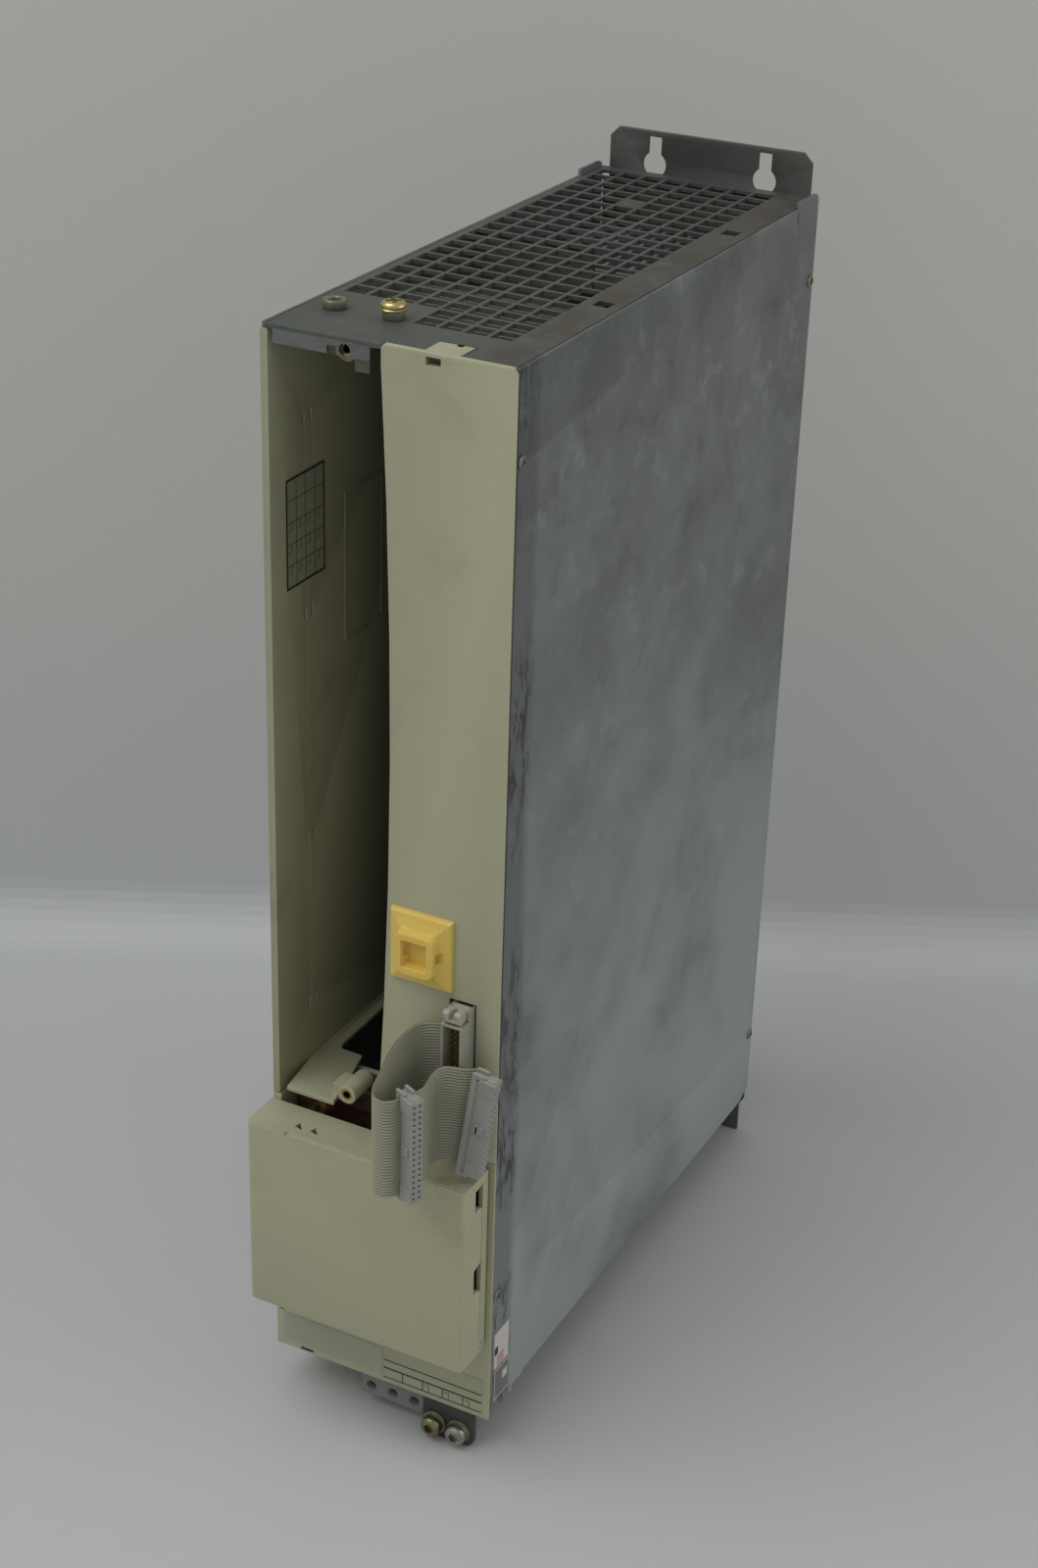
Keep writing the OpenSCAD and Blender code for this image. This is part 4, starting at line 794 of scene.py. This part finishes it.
class SERVO_OT_bus_cable(Made):
    """Makes the ribbed bus cable along its route."""
    bl_idname = "servo_drive.bus_cable"
    bl_label = "Bus cable"

    def execute(self, context):
        s = context.scene.drive_sizes
        line = smooth_route()
        ahead = np.gradient(line[:, :3], axis=0)
        ahead /= np.linalg.norm(ahead, axis=1)[:, None]
        lean = np.radians(line[:, 3])
        across = np.stack([np.sin(lean), 0 * lean, np.cos(lean)], 1)
        out = np.cross(ahead, across)
        out /= np.linalg.norm(out, axis=1)[:, None]
        per_wire = 6
        count = s.wires * per_wire
        u = np.linspace(-0.5, 0.5, count + 1) * s.wires * s.wire_pitch
        phase = np.arange(count + 1) % per_wire / per_wire
        bulge = np.abs(np.sin(np.pi * phase))
        half = s.wire_thickness / 2 * (s.groove + (1 - s.groove) * bulge)
        half[0] = half[-1] = s.wire_thickness / 2 * 0.3
        around = np.concatenate([np.stack([u, half], 1), np.stack([u[::-1], -half[::-1]], 1)])
        groove = np.concatenate([1 - bulge, (1 - bulge)[::-1]])
        middle = np.array([at(*q[:3]) for q in line])
        verts = (middle[:, None, :] + across[:, None, :] * around[None, :, :1]
                 + out[:, None, :] * around[None, :, 1:]).reshape(-1, 3)
        ring, rings = len(around), len(line)
        faces = [(i * ring + k, i * ring + (k + 1) % ring, (i + 1) * ring + (k + 1) % ring, (i + 1) * ring + k)
                 for i in range(rings - 1) for k in range(ring)]
        for i in (0, rings - 1):
            for k in range(count):
                a, b = i * ring + k, i * ring + 2 * count + 1 - k
                faces.append((a, a + 1, b - 1, b))
        mesh = bpy.data.meshes.new("bus_ribbon")
        mesh.from_pydata(verts.tolist(), [], faces)
        attribute = mesh.attributes.new("groove", "FLOAT", "POINT")
        attribute.data.foreach_set("value", np.tile(groove, rings).astype(np.float32))
        b = bmesh.new()
        b.from_mesh(mesh)
        bmesh.ops.recalc_face_normals(b, faces=b.faces)
        b.to_mesh(mesh)
        b.free()
        smooth(mesh, 60)
        ribbon = finished(link("bus_ribbon", mesh, "ribbon_pvc"), "ribbon_pvc", "ribbon_cable")
        plugs = [softened(n, "plug_plastic", 0.00025) for n in
                 ("plug_middle", "plug_middle_cover", "plug_end", "plug_end_cover")]
        plugs.append(plug_details("plug_middle_details", (33.7, -40.97, 155.2), Matrix.Rotation(math.radians(-25), 4, "Z")))
        plugs.append(plug_details("plug_end_details", (46.85, -12.7, 152.1), Matrix.Rotation(math.radians(7.8), 4, "Y")))
        return {"FINISHED"}


PLUG_LENGTH = 45.0
PLUG_HALF_W = 2.6
PLUG_FRONT = 7.5
PLUG_BACK = -2.7


def plug_details(name, middle, turn):
    """Raised ends, lock bump, cover ribs and snap legs of a plug; local X points out of its contacts."""
    end, w = PLUG_LENGTH / 2, PLUG_HALF_W
    boxes = []
    for side in (-1, 1):
        face = sorted((side * (w - 0.1), side * (w + 0.35)))
        for low, high in ((16.4, end - 0.05), (-end + 0.05, -16.4)):
            boxes.append(((0.7, face[0], low), (PLUG_FRONT - 0.05, face[1], high)))
        bump = sorted((side * (w - 0.1), side * (w + 0.75)))
        boxes.append(((2.0, bump[0], -1.7), (5.9, bump[1], 1.7)))
        boxes.append(((2.6, bump[0], -2.3), (3.5, bump[1], 2.3)))
        for low, high in ((end - 0.4, end + 1.5), (-end - 1.5, -end + 0.4)):
            leg = sorted((side * (w - 1.3), side * w))
            boxes.append(((PLUG_BACK + 0.1, leg[0], low), (2.4, leg[1], high)))
    for low, high in ((end - 0.4, end + 0.5), (-end - 0.5, -end + 0.4)):
        boxes.append(((3.4, -w + 0.9, low), (PLUG_FRONT - 0.6, w - 0.9, high)))
    for k in range(17):
        z = (k - 8) * 2.54
        boxes.append(((PLUG_BACK - 0.18, -w + 0.3, z - 0.62), (PLUG_BACK + 0.2, w - 0.3, z + 0.62)))
    b = bmesh.new()
    for low, high in boxes:
        box_faces(b, Vector(low) * MM, Vector(high) * MM)
    b.transform(Matrix.Translation(at(*middle)) @ turn)
    mesh = bpy.data.meshes.new(name)
    b.to_mesh(mesh)
    b.free()
    piece = link(name, mesh, "plug_plastic")
    bevel = piece.modifiers.new("Rounding", "BEVEL")
    bevel.width = 0.00012
    bevel.segments = 1
    return finished(plain_mesh(piece), "plug_plastic")


class SERVO_OT_moulded_front(Made):
    """Rounds the edges of the moulded front pieces and gives them their aged plastic."""
    bl_idname = "servo_drive.moulded_front"
    bl_label = "Moulded front"

    def execute(self, context):
        s = context.scene.drive_sizes
        for node in ("front_panel", "lower_housing", "slot_floor"):
            softened(node, "beige_plastic", s.edge * 0.8)
        softened("slot_housing", "beige_plastic", s.edge * 0.5, material="slot_plastic")
        for node, slot in (("slot_vent", "olive_plastic"), ("slot_connectors", "connector_plastic"),
                           ("slot_inserts", "brass_insert")):
            paint(node, slot)
        return {"FINISHED"}


class SERVO_OT_link_cover(Made):
    """Rounds the hinged cover of the link busbars."""
    bl_idname = "servo_drive.link_cover"
    bl_label = "Link cover"

    def execute(self, context):
        softened("dc_link_cover", "beige_plastic", context.scene.drive_sizes.edge, body="link_cover", steps=3)
        return {"FINISHED"}


def paint(node, slot, material=None):
    """Gives a frame node that stays as it is its finish."""
    mesh = NODES[node].data
    mesh.materials.clear()
    mesh.materials.append(MATERIALS[material or slot])


class SERVO_OT_sheet_metal(Made):
    """Finishes the housing: galvanised sides, weathered top, back and base."""
    bl_idname = "servo_drive.sheet_metal"
    bl_label = "Sheet metal"

    def execute(self, context):
        radius = context.scene.drive_sizes.sheet_edge
        for node in ("side_panel_right", "side_panel_left"):
            softened(node, "galvanised", radius)
        softened("back_plate", "dark_steel", radius)
        softened("front_lip", "dark_steel", radius, material="lip_steel")
        for node in ("top_grille", "base_plate"):
            paint(node, "dark_steel")
        side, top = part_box("side_panel_right")[1].x / MM, top_of("top_grille")
        clip_low, clip_high = 12.45, 27.45
        # Painted shade: near-black strips along the gap between the moulded front and the right side panel, and along
        # the gaps of the clip and the lip on top.
        bars("panel_seam", "dark_steel", "gap_shade", [
            ((side - 0.05, 0.82, 128), (side + 0.25, 2.1, top - 0.6)),
            ((clip_low - 0.2, 2.9, top - 0.1), (clip_low + 0.55, 14.6, top + 0.1)),
            ((clip_high - 0.55, 2.9, top - 0.1), (clip_high + 0.3, 14.6, top + 0.1)),
            ((clip_low, 14.35, top - 0.1), (clip_high, 15.2, top + 0.1)),
            ((27.5, 2.55, top - 0.1), (49.2, 2.95, top + 0.05)),
            ((-1.8, 2.55, top - 0.1), (12.4, 2.95, top + 0.05))])
        return {"FINISHED"}


class SERVO_OT_inside(Made):
    """Finishes the power stage and the cooling inside the housing."""
    bl_idname = "servo_drive.inside"
    bl_label = "Power stage"

    def execute(self, context):
        for node, slot in (("heat_sink", "sink_aluminium"), ("power_modules", "module_plastic"),
                           ("module_screws", "steel_screw"), ("driver_board", "board_green"),
                           ("capacitors", "capacitor_can"), ("capacitor_board", "board_green"),
                           ("bus_board", "board_green"), ("supply_transformer", "transformer_core"),
                           ("fan_frame", "fan_plastic"), ("fan_rotor", "fan_plastic"),
                           ("fan_guard", "steel_screw"), ("fan_screws", "steel_screw"),
                           ("busbar_upper", "copper"), ("busbar_lower", "copper"),
                           ("busbar_carrier", "carrier_plastic"), ("busbar_screws", "yellow_zinc"),
                           ("terminal_screws", "steel_screw"), ("header_pins", "gold_pins")):
            paint(node, slot)
        return {"FINISHED"}


def tie_height(u, v):
    """Height of the tie mount over the panel, in millimetres, u across and v up from its middle."""
    half_u, half_v = 13.0, 15.0
    rim = min(half_u - abs(u), half_v - abs(v))
    ring_u, ring_v = abs(u) / 8.2, abs(v) / 8.8
    ring = (ring_u ** 5 + ring_v ** 5) ** 0.2
    slope = max(0.0, min(1.0, (rim - 0.6) / 5.6))
    height = 1.5 + 1.1 * min(1.0, rim / 0.9) ** 0.5 + 2.4 * slope ** 1.5
    t = max(0.0, min(1.0, (1.10 - ring) / 0.13))
    height += (7.9 - height) * t * t * (3 - 2 * t)
    pit = max(abs(u) / 4.7, abs(v) / 5.4)
    t = max(0.0, min(1.0, (1.12 - pit) / 0.2))
    return height + (2.9 - height) * t * t * (3 - 2 * t)


def tie_mount_mesh():
    """The tie mount: sloped base and rounded saddle with a pit; the way through for the tie is cut afterwards."""
    low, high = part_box("tie_mount")
    middle = (low + high) / 2
    wide, tall = (high.x - low.x) / 2 / MM, (high.z - low.z) / 2 / MM
    nu, nv = 78, 90
    b = bmesh.new()
    front, back = [], []
    for j in range(nv + 1):
        v = (j / nv * 2 - 1) * tall
        front.append([])
        back.append([])
        for i in range(nu + 1):
            u = (i / nu * 2 - 1) * wide
            h = tie_height(u * 13.0 / wide, v * 15.0 / tall)
            x, z = middle.x + u * MM, middle.z + v * MM
            front[-1].append(b.verts.new((x, high.y - h * MM, z)))
            edge = i in (0, nu) or j in (0, nv)
            back[-1].append(b.verts.new((x, high.y, z)) if edge else None)
    for j in range(nv):
        for i in range(nu):
            b.faces.new((front[j][i], front[j][i + 1], front[j + 1][i + 1], front[j + 1][i]))
    ring = ([(0, i) for i in range(nu)] + [(j, nu) for j in range(nv)] + [(nv, i) for i in range(nu, 0, -1)]
            + [(j, 0) for j in range(nv, 0, -1)])
    for (j, i), (q, p) in zip(ring, ring[1:] + ring[:1]):
        b.faces.new((front[j][i], back[j][i], back[q][p], front[q][p]))
    b.faces.new([back[j][i] for j, i in ring])
    bmesh.ops.recalc_face_normals(b, faces=b.faces)
    mesh = bpy.data.meshes.new("tie_mount_shape")
    b.to_mesh(mesh)
    b.free()
    return mesh, middle, high.y


class SERVO_OT_fittings(Made):
    """Makes the tie mount, the header with its latches, the spacers and the terminals."""
    bl_idname = "servo_drive.fittings"
    bl_label = "Fittings"

    def execute(self, context):
        s = context.scene.drive_sizes
        mesh, middle, back = tie_mount_mesh()
        tie = link("tie_mount_shape", mesh, "aged_nylon")
        cut = bmesh.new()
        box_faces(cut, (middle.x - 0.0105, back - 0.0062, middle.z - 0.0022),
                  (middle.x + 0.0105, back - 0.0031, middle.z + 0.0022))
        way = bpy.data.meshes.new("tie_way")
        cut.to_mesh(way)
        cut.free()
        cutter = bpy.data.objects.new("tie_way", way)
        context.scene.collection.objects.link(cutter)
        boolean = tie.modifiers.new("Way", "BOOLEAN")
        boolean.object = cutter
        boolean.operation = "DIFFERENCE"
        boolean.solver = "EXACT"
        plain_mesh(tie)
        bpy.data.objects.remove(cutter)
        smooth(tie.data, 38)
        finished(tie, "aged_nylon", "tie_mount")
        softened("header_shell", "header_plastic", 0.0002)
        softened("latch_upper", "latch_plastic", 0.0003, body="upper_latch")
        softened("latch_lower", "latch_plastic", 0.0003, body="lower_latch")
        softened("top_spacers", "steel_screw", 0.0004, material="olive_spacer")
        softened("motor_terminal_block", "terminal_plastic", 0.0004)
        softened("earth_bracket", "bracket_steel", s.sheet_edge)
        softened("earth_washers", "steel_screw", 0.0002, material="olive_spacer")
        return {"FINISHED"}


class SERVO_OT_screws(Made):
    """Makes the visible screws, each with its recess."""
    bl_idname = "servo_drive.screws"
    bl_label = "Screws"

    def execute(self, context):
        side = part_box("side_panel_right")[1].x / MM
        low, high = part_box("side_screws")
        heights = (top_of("top_grille") - 33.4, top_of("top_grille") - 34)
        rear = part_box("side_panel_right")[1].y / MM - FRONT / MM - 3.2
        places = []
        for sign in (-1, 1):
            for y, z in ((5.1, heights[0]), (rear, heights[1]), (5.1, 60), (rear, 40)):
                places.append((at(sign * side, y, z), (sign, 0, 0)))
        screws("side_screw_heads", "steel_screw", template("side_screw", screw_rings(2.6, 0.88, lambda a: cross(1.7, 0.42)(a) * MM, 1.4, 1.3)),
               places, 1.5, 3, "side_screws", material="olive_spacer")
        low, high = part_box("earth_screws")
        z = ((low.z + high.z) / 2 - FOOT) / MM
        head = (high.z - low.z) / 2 / MM
        xs = (low.x / MM + head, high.x / MM - head)
        for name, x, turn, finish in (("left", xs[0], 1, "dull_screw"), ("right", xs[1], 4, "grey_screw")):
            screws("earth_screw_" + name, "yellow_zinc",
                   template("earth_screw", screw_rings(head - 0.05, 3.6, lambda a: star(2.0)(a) * MM, 2.4, 8.6)),
                   [(at(x, -0.95, z), (0, -1, 0))], 6.0, turn, "earth_screws", material=finish)
        base = top_of("top_spacers")
        screws("top_screw_head", "yellow_zinc",
               template("top_screw", screw_rings(4.65, 2.5, lambda a: cross(2.9, 0.75)(a) * MM, 2.0, 12)),
               [(at(-13.2, 28, base + 0.7), (0, 0, 1))], 3.0, 8, "top_screw", material="yellow_zinc")
        screws("top_washer", "yellow_zinc",
               template("top_washer", [(4.8 * MM, 0), (4.88 * MM, 0.0002), (4.88 * MM, 0.0005), (4.7 * MM, 0.0007)]),
               [(at(-13.2, 28, base), (0, 0, 1))], 0.0, 8, material="yellow_zinc")
        return {"FINISHED"}


def top_of(node):
    """Height of the node's top above the fascia's foot, in millimetres."""
    return (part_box(node)[1].z - FOOT) / MM


LINE = 0.30          # half width of a printed line, in millimetres
PRINT_LOW, PRINT_HIGH = -0.26, -0.14


def rating_lines():
    """Ruled fields of the rating label: three long lines, ticks and small boxes between the lower two."""
    rows = [(11.7, 0.9), (7.65, 1.2), (2.8, 0.8)]
    boxes = [((1.3, PRINT_LOW, z - LINE * w), (47.2, PRINT_HIGH, z + LINE * w)) for z, w in rows]
    for x, low in ((10.3, 3), (19.75, 3), (29.1, 3), (38.55, 3)):
        boxes.append(((x - 0.2, PRINT_LOW, low), (x + 0.2, PRINT_HIGH, 7.3)))
    for x in (19.9, 29.25, 38.7):
        boxes.append(((x + 2.6, PRINT_LOW, 3), (x + 2.84, PRINT_HIGH, 6.2)))
        boxes.append(((x, PRINT_LOW, 6.0), (x + 2.84, PRINT_HIGH, 6.24)))
    return boxes


def wall_lines(wall):
    """Ruled table of the address switches on the slot wall, with a thick frame and three rows of switch fields."""
    columns = (10.7, 17.1, 23.3, 29.8, 36.2)
    rows = (382.2, 374.2, 365.6, 357.3, 348.9, 340.2)
    near, far = wall + 0.16, wall + 0.26
    boxes = []
    for y in columns:
        half = 0.42 if y in (columns[0], columns[-1]) else 0.13
        boxes.append(((near, y - half, rows[-1] - 0.4), (far, y + half, rows[0] + 0.4)))
    for z in rows:
        half = 0.42 if z in (rows[0], rows[-1]) else 0.13
        boxes.append(((near, columns[0], z - half), (far, columns[-1], z + half)))
    for y in columns[:-1]:
        for z in rows[2:5]:
            boxes.append(((near, y + 2.9, z - 3.4), (far, y + 3.12, z)))
            boxes.append(((near, y + 0.9, z - 3.4), (far, y + 3.12, z - 3.18)))
    return boxes


class SERVO_OT_labels(Made):
    """Finishes the foil labels and prints their ruled tables."""
    bl_idname = "servo_drive.labels"
    bl_label = "Labels"

    def execute(self, context):
        paint("rating_label", "label_foil")
        paint("switch_label", "label_grey")
        paint("side_label", "label_white")
        bars("rating_print", "label_foil", "print", rating_lines())
        bars("switch_print", "label_grey", "print", wall_lines(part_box("switch_label")[0].x / MM))
        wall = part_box("switch_label")[0].x / MM
        y0, y1, z0, z1, line = 51, 79.3, 304.9, 366, 0.9
        bars("wall_relief", "beige_plastic", "slot_plastic", [
            ((wall - 0.1, y0, z0), (wall + 0.35, y0 + line, z1)), ((wall - 0.1, y1 - line, z0), (wall + 0.35, y1, z1)),
            ((wall - 0.1, y0 + line, z0), (wall + 0.35, y1 - line, z0 + line)),
            ((wall - 0.1, y0 + line, z1 - line), (wall + 0.35, y1 - line, z1))])
        bars("left_foil", "label_foil", "left_foil", [((-47.2, -0.16, 3.4), (0.7, 0.0, 17.2))])
        # Painted shade: near-black boxes in two recesses of the fascia, for the shade inside them.
        bars("fascia_recess", "beige_plastic", "gap_shade", [((-38.9, 0.15, 0.65), (-33.0, 1.48, 1.85)),
                                                        ((-49.1, 0.15, 17.9), (-47.1, 1.48, 19.9))])
        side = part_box("side_label")[1].x / MM
        bars("sticker_tint", "label_white", "sticker_pink", [((side - 0.02, 6.6, 23.2), (side + 0.06, 12.4, 28.4))])
        bars("sticker_mark", "label_white", "print", [((side - 0.02, 4.6, 29.4), (side + 0.08, 7.2, 33.2))])
        bars("sticker_lower", "label_white", "sticker_grey", [((side - 0.02, 5.4, 6.6), (side + 0.05, 16.6, 20.6))])
        bars("sticker_blob", "label_white", "label_white", [((side + 0.0, 11.6, 13.2), (side + 0.1, 15.6, 17.2))])
        return {"FINISHED"}


class SERVO_PT_panel(bpy.types.Panel):
    """Shows the drive's settings and the buttons of its steps."""
    bl_label = "Servo Drive"
    bl_idname = "SERVO_PT_panel"
    bl_space_type = "VIEW_3D"
    bl_region_type = "UI"
    bl_category = "Servo Drive"

    def draw(self, context):
        for name in ("drive_sizes", "drive_finish", "drive_stage"):
            box = self.layout.box()
            group = getattr(context.scene, name)
            for key in group.bl_rna.properties.keys():
                if key not in ("name", "rna_type"):
                    box.prop(group, key)
        for operator in STEPS:
            self.layout.operator(operator.bl_idname)


SETTINGS = (("drive_sizes", DriveSizes), ("drive_finish", DriveFinish), ("drive_stage", StageSettings))
STEPS = (SERVO_OT_stage, SERVO_OT_bus_cable, SERVO_OT_sheet_metal, SERVO_OT_moulded_front, SERVO_OT_link_cover,
         SERVO_OT_labels, SERVO_OT_fittings, SERVO_OT_screws, SERVO_OT_inside)


def register():
    for name, group in SETTINGS:
        bpy.utils.register_class(group)
        setattr(bpy.types.Scene, name, bpy.props.PointerProperty(type=group))
    for cls in (*STEPS, SERVO_PT_panel):
        bpy.utils.register_class(cls)


def unregister():
    for cls in (SERVO_PT_panel, *reversed(STEPS)):
        bpy.utils.unregister_class(cls)
    for name, group in reversed(SETTINGS):
        delattr(bpy.types.Scene, name)
        bpy.utils.unregister_class(group)


def main():
    register()
    make_materials()
    for operator in STEPS:
        group, name = operator.bl_idname.split(".")
        getattr(getattr(bpy.ops, group), name)()


if __name__ == "__main__":
    main()
